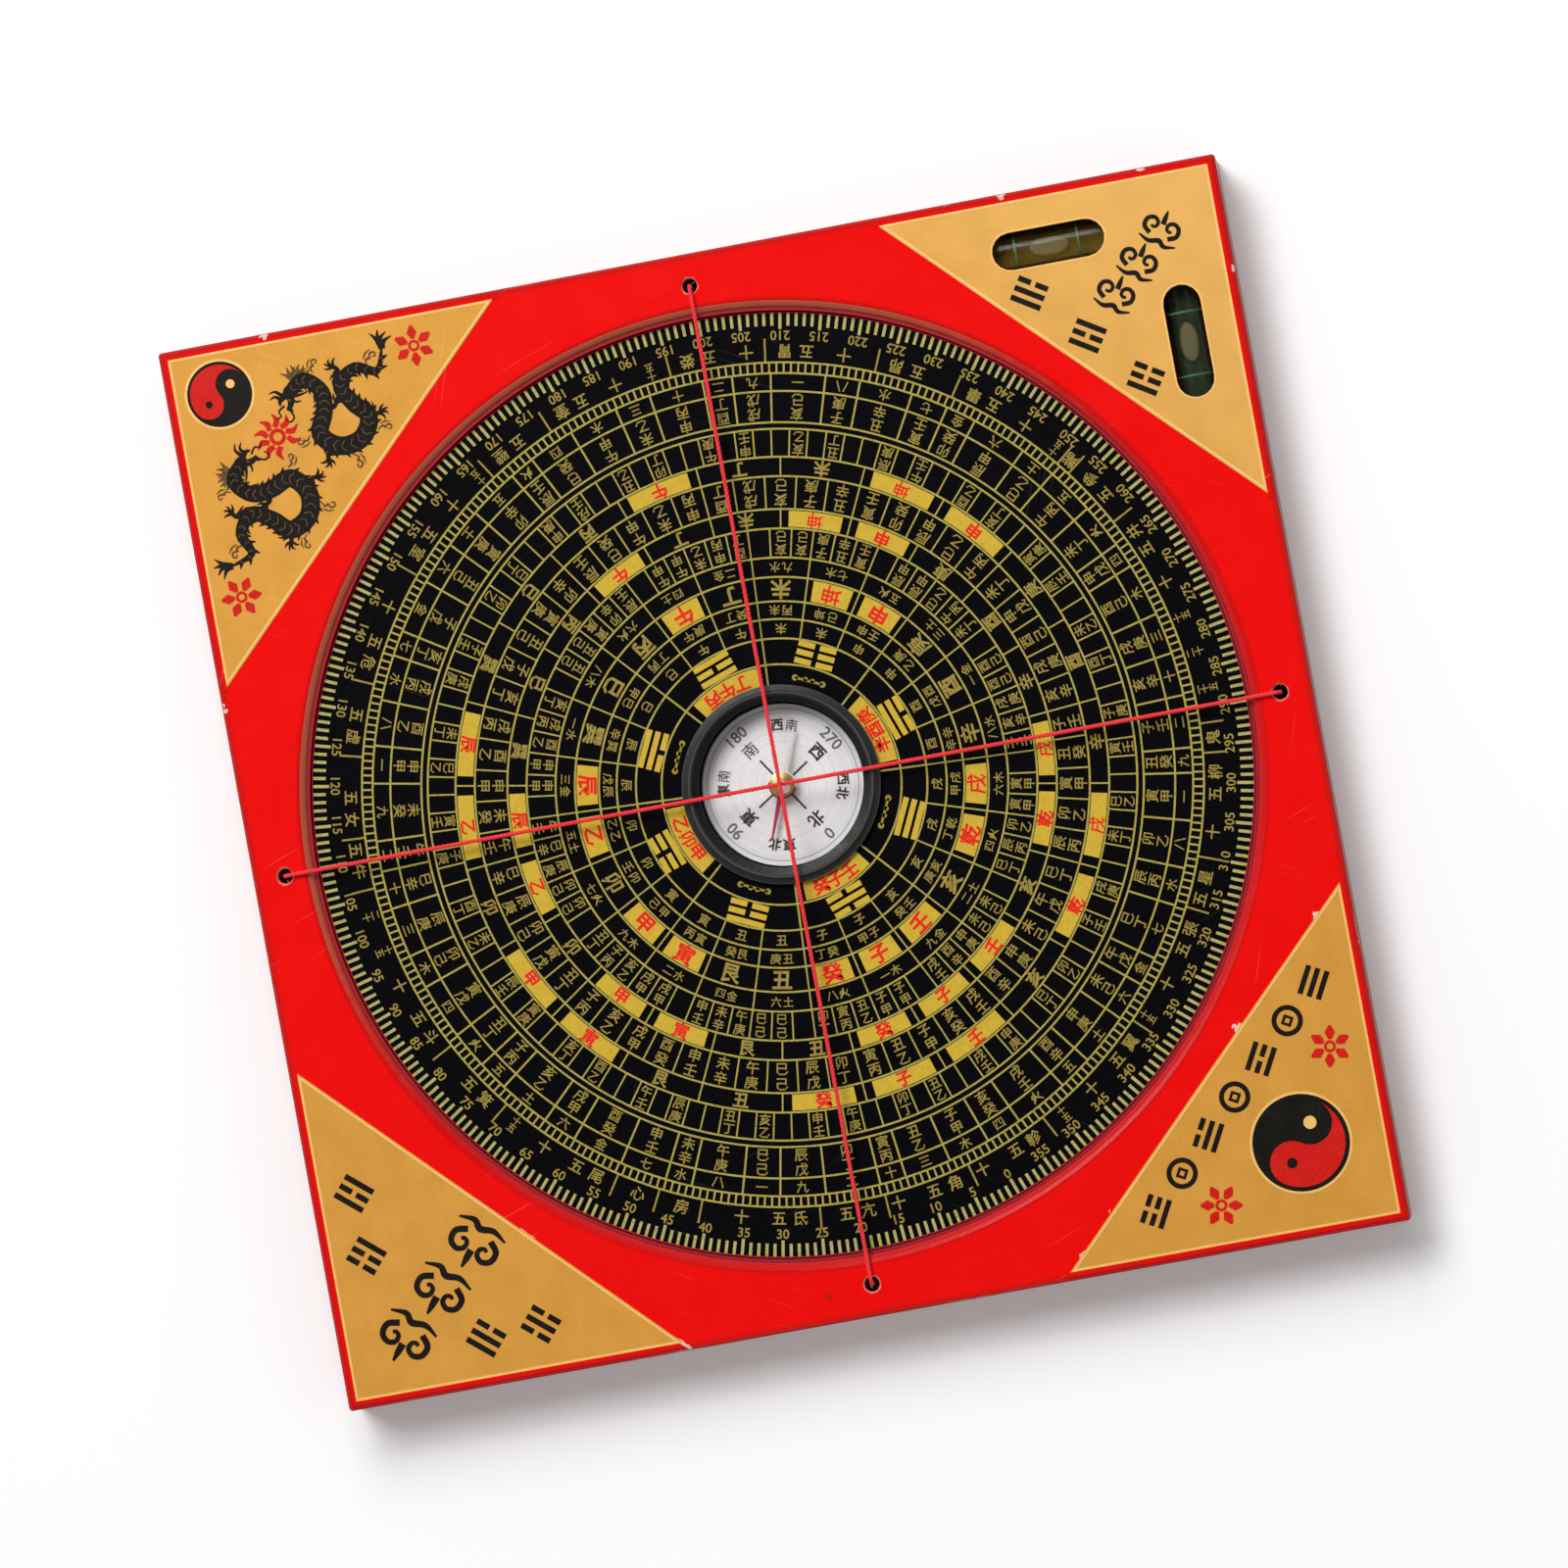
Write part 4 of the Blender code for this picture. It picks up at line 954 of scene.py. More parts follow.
@dataclass(frozen=True)
class Finishes:
    """Every finish of the compass."""

    lacquer: Finish = Lacquer(
        "red_lacquer", (0.85, 0.0042, 0.0036), 0.24, specular=0.14, mottle=0.05, grain=120.0,
        scratch_share=0.06,
    )
    # Painted shade: the dark red of the shaded gap between the dial and the well's wall, and of the wall's
    # reflection at the dial's edge.
    lining: Finish = Finish("well_shade_ring", (0.34, 0.008, 0.016), specular=0.2, mottle=0.3, grain=600.0)
    board: Finish = PaintedBoard(
        "dark_red_board", (0.30, 0.010, 0.010), 0.55, mottle=0.25, grain=220.0, bump=0.00003,
        scratch_share=0.2,
    )
    gold: Finish = GoldFoil(
        "gold_plate", (0.72, 0.335, 0.050), 0.38, metallic=0.2, specular=0.22, mottle=0.06, grain=160.0,
        scratch_share=0.15,
    )
    pale_gold: Finish = GoldFoil("pale_gold_line", (0.90, 0.54, 0.15), 0.40, metallic=0.1, mottle=0.1)
    disc: Finish = TurnedFace(
        "black_disc", (0.010, 0.010, 0.011), specular=0.3, circle_colour=(0.03, 0.03, 0.03)
    )
    face: Finish = Finish(
        "printed_face", (0.0018, 0.0018, 0.0026), 0.40, specular=0.04, mottle=0.8, grain=1500.0,
        scratch_share=0.02,
    )
    print_tick: Finish = Ink("dial_print_ticks", (0.46, 0.42, 0.135), specular=0.10, mottle=0.4, grain=700.0)
    print_line: Finish = Ink("dial_print_lines", (0.42, 0.348, 0.073), specular=0.10, mottle=0.4, grain=700.0)
    print_gold: Finish = Ink("dial_print_gold", (0.34, 0.250, 0.053), specular=0.10, mottle=0.5, grain=900.0)
    print_fill: Finish = Ink(
        "dial_print_fill", (0.62, 0.41, 0.036), specular=0.15, mottle=0.3, grain=900.0, gap_share=0.15
    )
    print_red: Finish = Ink(
        "dial_print_red", (0.78, 0.012, 0.008), specular=0.15, under_colour=(0.5, 0.3, 0.04), gap_share=0.12
    )
    ink_black: Finish = Ink(
        "corner_ink_black", (0.006, 0.005, 0.004), 0.40, specular=0.15, under_colour=(0.20, 0.12, 0.04),
        gap_share=0.05,
    )
    ink_brown: Finish = Ink(
        "corner_ink_brown", (0.10, 0.050, 0.014), 0.45, specular=0.2, under_colour=(0.5, 0.27, 0.06),
        gap_share=0.4,
    )
    ink_red: Finish = Ink(
        "corner_ink_red", (0.62, 0.006, 0.004), 0.40, specular=0.2, under_colour=(0.68, 0.20, 0.05),
        gap_share=0.10,
    )
    moulded: Finish = TurnedFace(
        "black_plastic", (0.0145, 0.0145, 0.0145), 0.42, specular=0.25, bump=0.00002,
        circle_colour=(0.03, 0.03, 0.032), bands=(
            # The two pale bands are painted highlights on the bezel's ridge and outer edge; inside 15.75 mm the
            # plastic is darker.
            (0.0, 15.75, (0.003, 0.003, 0.003)),
            (16.05, 16.45, (0.055, 0.052, 0.050)),
            (17.45, 17.7, (0.035, 0.035, 0.033)),
        ),
    )
    card: Finish = TurnedFace(
        "pale_card", (0.92, 0.90, 0.90), metallic=0.1, mottle=0.06, circle_colour=(0.60, 0.58, 0.58),
        circle_share=0.5, bands=((13.35, 13.55, (0.45, 0.44, 0.44)),),
    )
    card_print: Finish = Ink(
        "card_print", (0.030, 0.026, 0.028), specular=0.2, under_colour=(0.3, 0.29, 0.29)
    )
    card_numbers: Finish = Ink(
        "card_numbers", (0.13, 0.12, 0.12), specular=0.2, under_colour=(0.5, 0.49, 0.49)
    )
    crystal: Finish = Clear(
        "clear_acrylic", (0.99, 0.99, 0.99), 0.04, specular=0.5, mottle=0.01, ior=1.49, alpha=0.12
    )
    tube: Finish = Clear("clear_tube", (0.96, 0.97, 0.92), 0.12, mottle=0.02, ior=1.49)
    liquid: Finish = Clear(
        "green_liquid", (0.23, 0.135, 0.014), 0.05, mottle=0.4, grain=160.0, ior=1.33, alpha=1.0,
        clearness=0.35,
    )
    # A darker copy of the vial liquid for the y vial: painted shade.
    dark_liquid: Finish = Clear(
        "shaded_green_liquid", (0.050, 0.068, 0.040), 0.05, mottle=0.4, grain=160.0, ior=1.33, alpha=1.0,
        clearness=0.35,
    )
    bubble: Finish = Clear(
        "air_bubble", (0.50, 0.44, 0.22), 0.05, specular=0.5, mottle=0.02, ior=1.2, alpha=0.34, clearness=0.45
    )
    plug: Finish = Finish("plug_plastic", (0.26, 0.060, 0.032), 0.35, bump=0.00002)
    gauge: Finish = Finish("gauge_ring_green", (0.035, 0.14, 0.045), 0.4, bump=0.0)
    steel: Finish = Finish("steel", (0.60, 0.60, 0.62), 0.2, metallic=1.0, mottle=0.05)
    brass: Finish = TurnedFace(
        "brass", (0.50, 0.29, 0.09), 0.28, metallic=0.7, mottle=0.05, circle_colour=(0.7, 0.5, 0.25),
        # The pale band beside the cap's middle is a painted highlight.
        bands=((0.0, 1.15, (1.0, 0.95, 0.85)),), middle=(0.30, -0.55),
    )
    needle: Finish = NeedlePaint("needle_paint", (0.40, 0.02, 0.06), 0.35, bump=0.0)
    # Pale, as the hub's painted highlight.
    jewel: Finish = Finish("jewel_stone", (0.95, 0.92, 0.88), 0.12, mottle=0.03, bump=0.0)
    thread: Finish = Finish(
        "red_string", (0.90, 0.036, 0.045), 0.6, specular=0.2, mottle=0.2, grain=2500.0, bump=0.00003,
        sheen=(0.1, 0.5),
    )


FINISHES = Finishes()


@dataclass(frozen=True)
class Print:
    """One printed piece: its name, its ink, what draws it, and the layer of print that it lies on."""

    name: str
    finish: Finish
    draw: Callable[[Relief], None]
    layer: int = 0


class Workshop:
    """Turns meshes into named pieces that ride on the compass's bodies, and gives solids their finishes."""

    def __init__(self) -> None:
        """Build the shared effects."""
        Effects()

    def dress(self, **finishes: Finish) -> None:
        """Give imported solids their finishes.

        Args:
            **finishes: each solid's finish, by the solid's name.
        """
        for node, finish in finishes.items():
            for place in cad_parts[node].material_slots:
                place.material = finish.material()
            LOG.info("%s is dressed as %s", node, finish.name)

    def piece(self, mesh: bpy.types.Mesh, finish: Finish, body: str, slot: str, *replaced: str) -> None:
        """Make a mesh a piece of the compass.

        Args:
            mesh: the mesh, in metres, in its place at rest; the piece takes its name.
            finish: the piece's finish.
            body: the body that it rides on.
            slot: the record's material slot; not used.
            *replaced: the solids that it stands for.
        """
        item = put_in_scene(mesh.name, mesh)
        mesh.materials.append(finish.material())
        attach(item, body)
        if replaced:
            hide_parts(*replaced)
        LOG.info("%s rides on %s with %d faces", mesh.name, body, len(mesh.polygons))

    def print(self, surface: float, body: str, slot: str, *prints: Print) -> None:
        """Print pieces on a surface.

        Args:
            surface: the surface's height.
            body: the body that they ride on.
            slot: the record's material slot.
            *prints: the pieces.
        """
        for item in prints:
            relief = Relief(surface, item.layer)
            item.draw(relief)
            self.piece(relief.mesh(item.name), item.finish, body, slot)


@dataclass(frozen=True)
class Trigram:
    """A trigram's sizes: its lines' length and thickness, and the gaps between them and in a broken one."""

    length: float
    bar: float
    gap: float
    break_width: float

    def draw(self, relief: Relief, lines: str, centre: Point, bearing: float) -> None:
        """Draw three whole or broken lines.

        Args:
            relief: the relief to add to.
            lines: 1 for a whole line and 0 for a broken one, from the bottom up.
            centre: the trigram's middle.
            bearing: the bearing of its top.
        """
        for row, line in enumerate(lines):
            middle = spot((row - 1) * (self.bar + self.gap), bearing, centre)
            ends = [spot(side * self.length / 2, bearing + 90.0, middle) for side in (-1.0, 1.0)]
            if line == "1":
                relief.bar(*ends, self.bar)
                continue
            for side, end in zip((-1.0, 1.0), ends):
                relief.bar(end, spot(side * self.break_width / 2, bearing + 90.0, middle), self.bar)


def pairs(count: int) -> tuple[str, ...]:
    """Return the first pairs of a stem and a branch, in their round of sixty."""
    return tuple(STEMS[step % 10] + BRANCHES[step % 12] for step in range(count))


def write_on_dial(
    relief: Relief, letters: Lettering, text: str, radius: float, bearing: float, size: float
) -> None:
    """Write a text at a radius and a bearing from the dial's north, with its top towards the middle."""
    place = spot(radius, DIAL_NORTH + bearing)
    letters.write(relief, text, place, size, DIAL_NORTH + bearing + 180.0)


def spoke(relief: Relief, inner: float, outer: float, bearing: float, width: float) -> None:
    """Add a line between two radii, at a bearing from the dial's north."""
    relief.bar(spot(inner, DIAL_NORTH + bearing), spot(outer, DIAL_NORTH + bearing), width)


@dataclass(frozen=True)
class CellRing:
    """A ring of the dial with equal cells and characters in them, stacked or side by side."""

    inner: float
    outer: float
    texts: Sequence[str]
    size: float
    turn: float = 0.0
    stacked: bool = True
    stack_share: float = 0.46
    side_share: float = 1.1

    @property
    def middle(self) -> float:
        """The radius of the ring's middle."""
        return (self.inner + self.outer) / 2

    @property
    def step(self) -> float:
        """The turn from one cell to the next."""
        return 360.0 / len(self.texts)

    def characters(self, relief: Relief) -> None:
        """Write the characters of each cell.

        Args:
            relief: the relief to add to.
        """
        for cell, text in enumerate(self.texts):
            for row, character in enumerate(text):
                offset = row - (len(text) - 1) / 2
                radius, bearing = self.middle, self.turn + cell * self.step
                if self.stacked:
                    radius -= offset * (self.outer - self.inner) * self.stack_share
                else:
                    bearing += math.degrees(offset * self.size * self.side_share / self.middle)
                write_on_dial(relief, LETTERS, character, radius, bearing, self.size)


@dataclass(frozen=True)
class DialPrint:
    """The print on the turning dial: degree marks, rings of characters, gold cells and trigrams."""

    line: float = 0.34
    thin_line: float = 0.28
    tick_outer: float = 83.1
    tick_inner: float = 80.85
    long_tick_inner: float = 80.25
    tick_width: float = 0.54
    edge_ring: float = 0.28
    number_radius: float = 79.15
    number_size: float = 2.35
    number_step: int = 5
    mansion_start: float = 4.0
    mansion_radius: float = 76.4
    mansion_size: float = 2.7
    mansion_name_offset: float = 2.6
    mansion_line_end: float = 78.6
    count_size_share: float = 0.62
    count_row_share: float = 0.95
    ladder_outer: float = 74.4
    ladder_inner: float = 72.5
    star_split: float = 69.35
    star_inner: float = 63.84
    star_cells: int = 60
    star_outer_size: float = 2.2
    star_inner_size: float = 2.4
    star_row_shares: Pair = (0.27, 0.73)
    circles: tuple[float, ...] = (62.7, 57.76, 54.34, 48.55, 45.13, 40.0, 36.58, 32.3, 29.17, 25.75, 21.2)
    gold_half_width: float = 5.75
    gold_inset: float = 0.3
    trigram: Trigram = Trigram(6.9, 1.0, 0.52, 0.9)
    trigram_radius: float = 23.43
    hub_inner: float = 17.2
    hub_gold_half_width: float = 18.0
    hub_text_radius: float = 19.15
    hub_text_step: float = 8.6
    hub_text_size: float = 3.0
    hub_mark_radius: float = 19.0
    hub_mark_half_width: float = 7.6
    hub_mark_line: float = 0.42
    hub_mark_end_radius: float = 0.55
    capsule_line_start: float = 17.0

    @property
    def rings(self) -> tuple[CellRing, ...]:
        """The rings with equal cells, outside in."""
        r = self.circles
        fills = tuple(text if step % 5 in (1, 3) else "" for step, text in enumerate(pairs(120)))
        gaps = tuple("" if step % 6 == 5 else pairs(60)[step * 5 // 6] for step in range(72))
        halves = tuple(ELEMENTS[step % 5] + NUMERALS[step * 7 % 9] for step in range(24))
        both = tuple(MOUNTAINS[step] + STEMS[step * 3 % 10] for step in range(24))
        return (
            CellRing(r[1], r[0], fills, 2.15),
            CellRing(r[3], r[2], pairs(60), 2.45),
            CellRing(r[5], r[4], gaps, 2.15),
            CellRing(r[6], r[5], halves, 1.95, stacked=False),
            CellRing(r[8], r[7], both, 2.0, stacked=False),
            CellRing(r[9], r[8], tuple(BRANCHES[step // 2] for step in range(24)), 2.1),
        )

    @property
    def mountain_rings(self) -> tuple[CellRing, ...]:
        """The three rings of twenty-four directions, each turned against the last."""
        r = self.circles
        return (
            CellRing(r[2], r[1], MOUNTAINS, 2.9, 7.5),
            CellRing(r[4], r[3], MOUNTAINS, 2.9, -7.5),
            CellRing(r[7], r[6], MOUNTAINS, 3.6),
        )

    @cached_property
    def star_bearings(self) -> list[float]:
        """The uneven bearings of the outer cells' dividers."""
        steps = range(self.star_cells)
        widths = [1.0 + 0.30 * math.sin(2.4 * step) + 0.12 * math.sin(5.1 * step) for step in steps]
        return [360.0 * sum(widths[:step]) / sum(widths) for step in (*steps, self.star_cells)]

    def build(self, shop: Workshop) -> None:
        """Dress the dial and print it.

        Args:
            shop: the workshop.
        """
        shop.dress(dial_disc=FINISHES.disc, dial_face=FINISHES.face)
        line, gold, fill = FINISHES.print_line, FINISHES.print_gold, FINISHES.print_fill
        ring_prints = [
            Print(f"dial_ring_{number}_characters", gold, ring.characters)
            for number, ring in enumerate(self.rings, 1)
        ]
        shop.print(
            span("dial_face")[1].z, "dial", "printed_face",
            Print("dial_ticks", FINISHES.print_tick, self.ticks),
            Print("dial_circles", line, self.circle_lines, 1),
            Print("dial_ladder", line, self.ladder),
            Print("dial_dividers", line, self.dividers),
            Print("dial_degree_numbers", gold, self.numbers, 1),
            Print("dial_mansions", gold, self.mansions),
            Print("dial_star_characters", gold, self.stars),
            Print("dial_hub_marks", gold, self.hub_marks),
            *ring_prints,
            Print("dial_mountain_characters", gold, partial(self.mountains, on_gold=False)),
            Print("dial_gold_cells", fill, self.gold_cells),
            Print("dial_trigrams", fill, self.trigrams),
            Print("dial_red_characters", FINISHES.print_red, self.red_characters, 2),
            # A painted reflection of the well's red wall at the dial's edge.
            Print("dial_edge_reflection", FINISHES.lining, self.edge),
        )

    def edge(self, relief: Relief) -> None:
        """Draw the dark red ring at the dial's edge, a painted reflection of the well's red wall."""
        relief.ring(self.tick_outer + self.edge_ring / 2, self.edge_ring)

    def ticks(self, relief: Relief) -> None:
        """Draw the 360 degree marks, every fifth one longer.

        Args:
            relief: the relief to add to.
        """
        for degree in range(360):
            inner = self.tick_inner if degree % self.number_step else self.long_tick_inner
            spoke(relief, inner, self.tick_outer, degree, self.tick_width)

    def circle_lines(self, relief: Relief) -> None:
        """Draw the round lines between the rings."""
        for radius in (self.ladder_outer, self.ladder_inner, self.star_split, self.star_inner, *self.circles):
            relief.ring(radius, self.line)

    def ladder(self, relief: Relief) -> None:
        """Draw the 360 rungs between the two outer circles."""
        for degree in range(360):
            spoke(relief, self.ladder_inner, self.ladder_outer, degree + 0.5, self.line)

    def dividers(self, relief: Relief) -> None:
        """Draw the lines between the cells.

        Args:
            relief: the relief to add to.
        """
        for bearing in self.star_bearings[:-1]:
            spoke(relief, self.star_inner, self.ladder_inner, bearing, self.line)
        for ring in (*self.rings, *self.mountain_rings):
            for cell in range(len(ring.texts)):
                spoke(relief, ring.inner, ring.outer, ring.turn + (cell + 0.5) * ring.step, self.thin_line)
        for corner in range(8):
            spoke(relief, self.capsule_line_start, self.circles[-2], (corner + 0.5) * 45.0, self.line)

    def numbers(self, relief: Relief) -> None:
        """Write the degree numbers."""
        for degree in range(0, 360, self.number_step):
            write_on_dial(relief, LETTERS, str(degree), self.number_radius, degree, self.number_size)

    def mansions(self, relief: Relief) -> None:
        """Draw the twenty-eight mansions' lines, and write their names and the count of degrees in each.

        Args:
            relief: the relief to add to.
        """
        start, step = self.mansion_start, self.number_step
        for name, width in zip(MANSIONS, MANSION_WIDTHS):
            spoke(relief, self.ladder_outer, self.mansion_line_end, start, self.line)
            marks = [(name, min(self.mansion_name_offset, width / 2))]
            marks += [(self.count(number), number + 0.5) for number in range(step, width - 1, step)]
            for text, offset in marks:
                for row, character in enumerate(text):
                    size = self.mansion_size * (1.0 if len(text) == 1 else self.count_size_share)
                    radius = self.mansion_radius + (row - (len(text) - 1) / 2) * size * self.count_row_share
                    write_on_dial(relief, LETTERS, character, radius, start + offset, size)
            start += width

    @staticmethod
    def count(number: int) -> str:
        """Return a number up to 30 in dial characters."""
        tens, ones = divmod(number, 10)
        return NUMERALS[tens - 1:tens] * (tens > 1) + "十" * (tens > 0) + NUMERALS[ones - 1:ones]

    def stars(self, relief: Relief) -> None:
        """Write the characters in the uneven outer cells: one outside, two stacked inside.

        Args:
            relief: the relief to add to.
        """
        depth = self.star_split - self.star_inner
        for cell, (first, last) in enumerate(zip(self.star_bearings, self.star_bearings[1:])):
            bearing, middle = (first + last) / 2, (self.ladder_inner + self.star_split) / 2
            write_on_dial(
                relief, LETTERS, (ELEMENTS + NUMERALS)[cell * 7 % 15], middle, bearing, self.star_outer_size
            )
            for share, character in zip(self.star_row_shares, pairs(60)[cell]):
                radius = self.star_split - depth * share
                write_on_dial(relief, LETTERS, character, radius, bearing, self.star_inner_size)

    def gold_cells(self, relief: Relief) -> None:
        """Draw the filled cells of the three direction rings and of the hub.

        Args:
            relief: the relief to add to.
        """
        reach = self.gold_half_width
        for ring in self.mountain_rings:
            for cell, name in enumerate(MOUNTAINS):
                if name in GOLD_MOUNTAINS:
                    bearing = DIAL_NORTH + ring.turn + cell * ring.step
                    inner, outer = ring.inner + self.gold_inset, ring.outer - self.gold_inset
                    relief.sector(inner, outer, bearing - reach, bearing + reach)
        outer, reach = self.circles[-1] - self.gold_inset, self.hub_gold_half_width
        for quarter in range(4):
            bearing = DIAL_NORTH + quarter * 90.0
            relief.sector(self.hub_inner, outer, bearing - reach, bearing + reach, 10)

    def mountains(self, relief: Relief, on_gold: bool) -> None:
        """Write the directions' characters that lie on gold cells, or the others.

        Args:
            relief: the relief to add to.
            on_gold: whether to write those on gold.
        """
        for ring in self.mountain_rings:
            for cell, name in enumerate(MOUNTAINS):
                if (name in GOLD_MOUNTAINS) is on_gold:
                    bearing = ring.turn + cell * ring.step
                    write_on_dial(relief, BOLD_LETTERS, name, ring.middle, bearing, ring.size)

    def red_characters(self, relief: Relief) -> None:
        """Write the characters on gold cells, in the direction rings and in the hub.

        Args:
            relief: the relief to add to.
        """
        self.mountains(relief, True)
        for quarter, names in enumerate(HUB_MOUNTAINS):
            for step, name in enumerate(names):
                bearing = quarter * 90.0 + (step - 1) * self.hub_text_step
                write_on_dial(relief, BOLD_LETTERS, name, self.hub_text_radius, bearing, self.hub_text_size)

    def trigrams(self, relief: Relief) -> None:
        """Draw the eight trigrams, each with its bottom line towards the middle.

        Args:
            relief: the relief to add to.
        """
        for step, lines in enumerate(DIAL_TRIGRAMS):
            bearing = DIAL_NORTH + step * 45.0
            self.trigram.draw(relief, lines, spot(self.trigram_radius, bearing), bearing)

    def hub_marks(self, relief: Relief) -> None:
        """Draw the knobbed bars between the hub's gold cells.

        Args:
            relief: the relief to add to.
        """
        for quarter in range(4):
            bearing = DIAL_NORTH + quarter * 90.0 + 45.0
            knobs = [
                spot(self.hub_mark_radius, bearing + share * self.hub_mark_half_width)
                for share in (-1.0, -0.25, 0.25, 1.0)
            ]
            relief.bar(knobs[0], knobs[-1], self.hub_mark_line)
            for knob in knobs:
                is_end = knob in (knobs[0], knobs[-1])
                relief.disc(knob, self.hub_mark_end_radius if is_end else self.hub_mark_line)


@dataclass(frozen=True)
class Capsule:
    """The compass capsule: its card's print, its parts' finishes and its needle."""

    card_north: float = 146.4
    number_radius: float = 11.8
    number_size: float = 2.9
    cardinal_radius: float = 8.4
    cardinal_size: float = 2.8
    corner_radius: float = 10.6
    corner_size: float = 2.3
    corner_spacing_share: float = 0.56
    line_inner: float = 2.2
    line_outer: float = 5.9
    line_width: float = 0.36

    def build(self, shop: Workshop) -> None:
        """Dress the capsule and print its card.

        Args:
            shop: the workshop.
        """
        shop.dress(
            capsule_cup=FINISHES.moulded, capsule_bezel=FINISHES.moulded, capsule_card=FINISHES.card,
            capsule_crystal=FINISHES.crystal, pivot_pin=FINISHES.steel, compass_needle=FINISHES.needle,
            needle_cap=FINISHES.brass, cap_jewel=FINISHES.jewel,
        )
        shop.print(
            span("capsule_card")[1].z, "dial", "pale_card",
            Print("capsule_card_print", FINISHES.card_print, self.directions),
            Print("capsule_card_numbers", FINISHES.card_numbers, self.numbers),
        )

    def numbers(self, relief: Relief) -> None:
        """Write the four numbers."""
        for bearing in (0, 90, 180, 270):
            self.letter(relief, LETTERS, str(bearing), self.number_radius, bearing, self.number_size)

    def directions(self, relief: Relief) -> None:
        """Draw the four lines and write the eight directions.

        Args:
            relief: the relief to add to.
        """
        spacing = math.degrees(self.corner_size * self.corner_spacing_share / self.corner_radius)
        for quarter, name in enumerate("北東南西"):
            bearing = quarter * 90.0
            self.letter(relief, BOLD_LETTERS, name, self.cardinal_radius, bearing, self.cardinal_size)
            turned = self.card_north + bearing
            relief.bar(spot(self.line_inner, turned), spot(self.line_outer, turned), self.line_width)
        for quarter, names in enumerate(("東北", "東南", "西南", "西北")):
            for side, name in zip((-1.0, 1.0), names):
                bearing = (quarter + 0.5) * 90.0 + side * spacing
                self.letter(relief, BOLD_LETTERS, name, self.corner_radius, bearing, self.corner_size)

    def letter(
        self, relief: Relief, letters: Lettering, text: str, radius: float, bearing: float, size: float
    ) -> None:
        """Write a text at a radius and a bearing from the card's north, with its top outwards."""
        turned = self.card_north + bearing
        letters.write(relief, text, spot(radius, turned), size, turned)


@dataclass(frozen=True)
class Well:
    """A dark red ring in the gap round the dial, painted shade of the well that the dial turns in."""

    inner_radius: float = 83.55
    outer_radius: float = 84.0
    bottom: float = 5.4
    top: float = 13.1
    lap: float = 0.05

    def build(self, shop: Workshop) -> None:
        """Dress the board round the well and make the dark red ring of painted shade in the gap.

        Args:
            shop: the workshop.
        """
        shop.dress(base_board=FINISHES.board, frame_plate=FINISHES.lacquer)
        relief = Relief(self.top)
        relief.low = self.bottom
        width = self.outer_radius + self.lap - self.inner_radius
        relief.ring(self.inner_radius + width / 2, width)
        shop.piece(relief.mesh("well_shade_ring"), FINISHES.lining, "plate", "red_lacquer")


class Motif(Enum):
    """The generic ornaments on the corner plates."""

    CLOUD = "cloud"
    TRIGRAM = "trigram"
    ROSETTE = "rosette"
    COIN = "coin"


@dataclass(frozen=True)
class Mark:
    """One ornament: what it is, where it lies, how large it is, and the bearing of its top.

    Each share is a length or a width as a share of the ornament's size.
    """

    motif: Motif
    place: Point
    size: float
    turn: float
    lines: str = "111"
    trigram_shares: tuple[float, ...] = (0.9, 0.16, 0.13, 0.14)
    coin_ring_shares: Pair = (0.40, 0.15)
    coin_hole_shares: Pair = (0.22, 0.10)
    rosette_ring_shares: Pair = (0.11, 0.07)
    petals: int = 6
    petal_reach_shares: tuple[float, ...] = (0.17, 0.33, 0.50)
    petal_width_shares: tuple[float, ...] = (0.08, 0.25, 0.06)

    def scaled(self, shares: Sequence[float]) -> list[float]:
        """Return the lengths that shares of the ornament's size stand for."""
        return [self.size * share for share in shares]

    def at(self, point: Point) -> Point:
        """Return the place of a point that is given as shares of the ornament's size."""
        middle = spot(point[1] * self.size, self.turn, self.place)
        return spot(point[0] * self.size, self.turn + 90.0, middle)

    def draw(self, relief: Relief) -> None:
        """Draw the ornament.

        Args:
            relief: the relief to add to.
        """
        if self.motif is Motif.TRIGRAM:
            Trigram(*self.scaled(self.trigram_shares)).draw(relief, self.lines, self.place, self.turn)
        elif self.motif is Motif.COIN:
            relief.ring(*self.scaled(self.coin_ring_shares), 32, self.place)
            outer, inner = (
                [spot(radius, self.turn + 45.0 - 90.0 * corner, self.place) for corner in range(4)]
                for radius in self.scaled(self.coin_hole_shares)
            )
            relief.strip(inner, outer, closed=True)
        elif self.motif is Motif.ROSETTE:
            relief.ring(*self.scaled(self.rosette_ring_shares), 20, self.place)
            for petal in range(self.petals):
                bearing = self.turn + petal * 360.0 / self.petals
                line = [spot(reach, bearing, self.place) for reach in self.scaled(self.petal_reach_shares)]
                relief.stroke(line, self.scaled(self.petal_width_shares))
        else:
            for points, widths in CLOUD:
                relief.stroke([self.at(point) for point in points], self.scaled(widths))


def curl(centre: Point, start: float, turns: float, radius: float, steps: int = 7) -> list[Point]:
    """Return a spiral that winds in to its centre, clockwise from a bearing."""
    shares = [step / steps for step in range(steps + 1)]
    return [spot(radius * (1.0 - 0.8 * share), start + 360.0 * turns * share, centre) for share in shares]


def row(
    motifs: Sequence[Motif], first: Point, last: Point, size: float, turn: float, start: int = 0,
) -> list[Mark]:
    """Return ornaments spread evenly along a line.

    Args:
        motifs: the ornaments, first to last.
        first: the first one's place.
        last: the last one's place.
        size: their size.
        turn: the bearing of their tops.
        start: which trigram the first one is.

    Returns:
        The ornaments.
    """
    marks = []
    for step, motif in enumerate(motifs):
        share = step / (len(motifs) - 1)
        place = (first[0] + (last[0] - first[0]) * share, first[1] + (last[1] - first[1]) * share)
        marks.append(Mark(motif, place, size, turn, TRIGRAM_LINES[start + step]))
    return marks


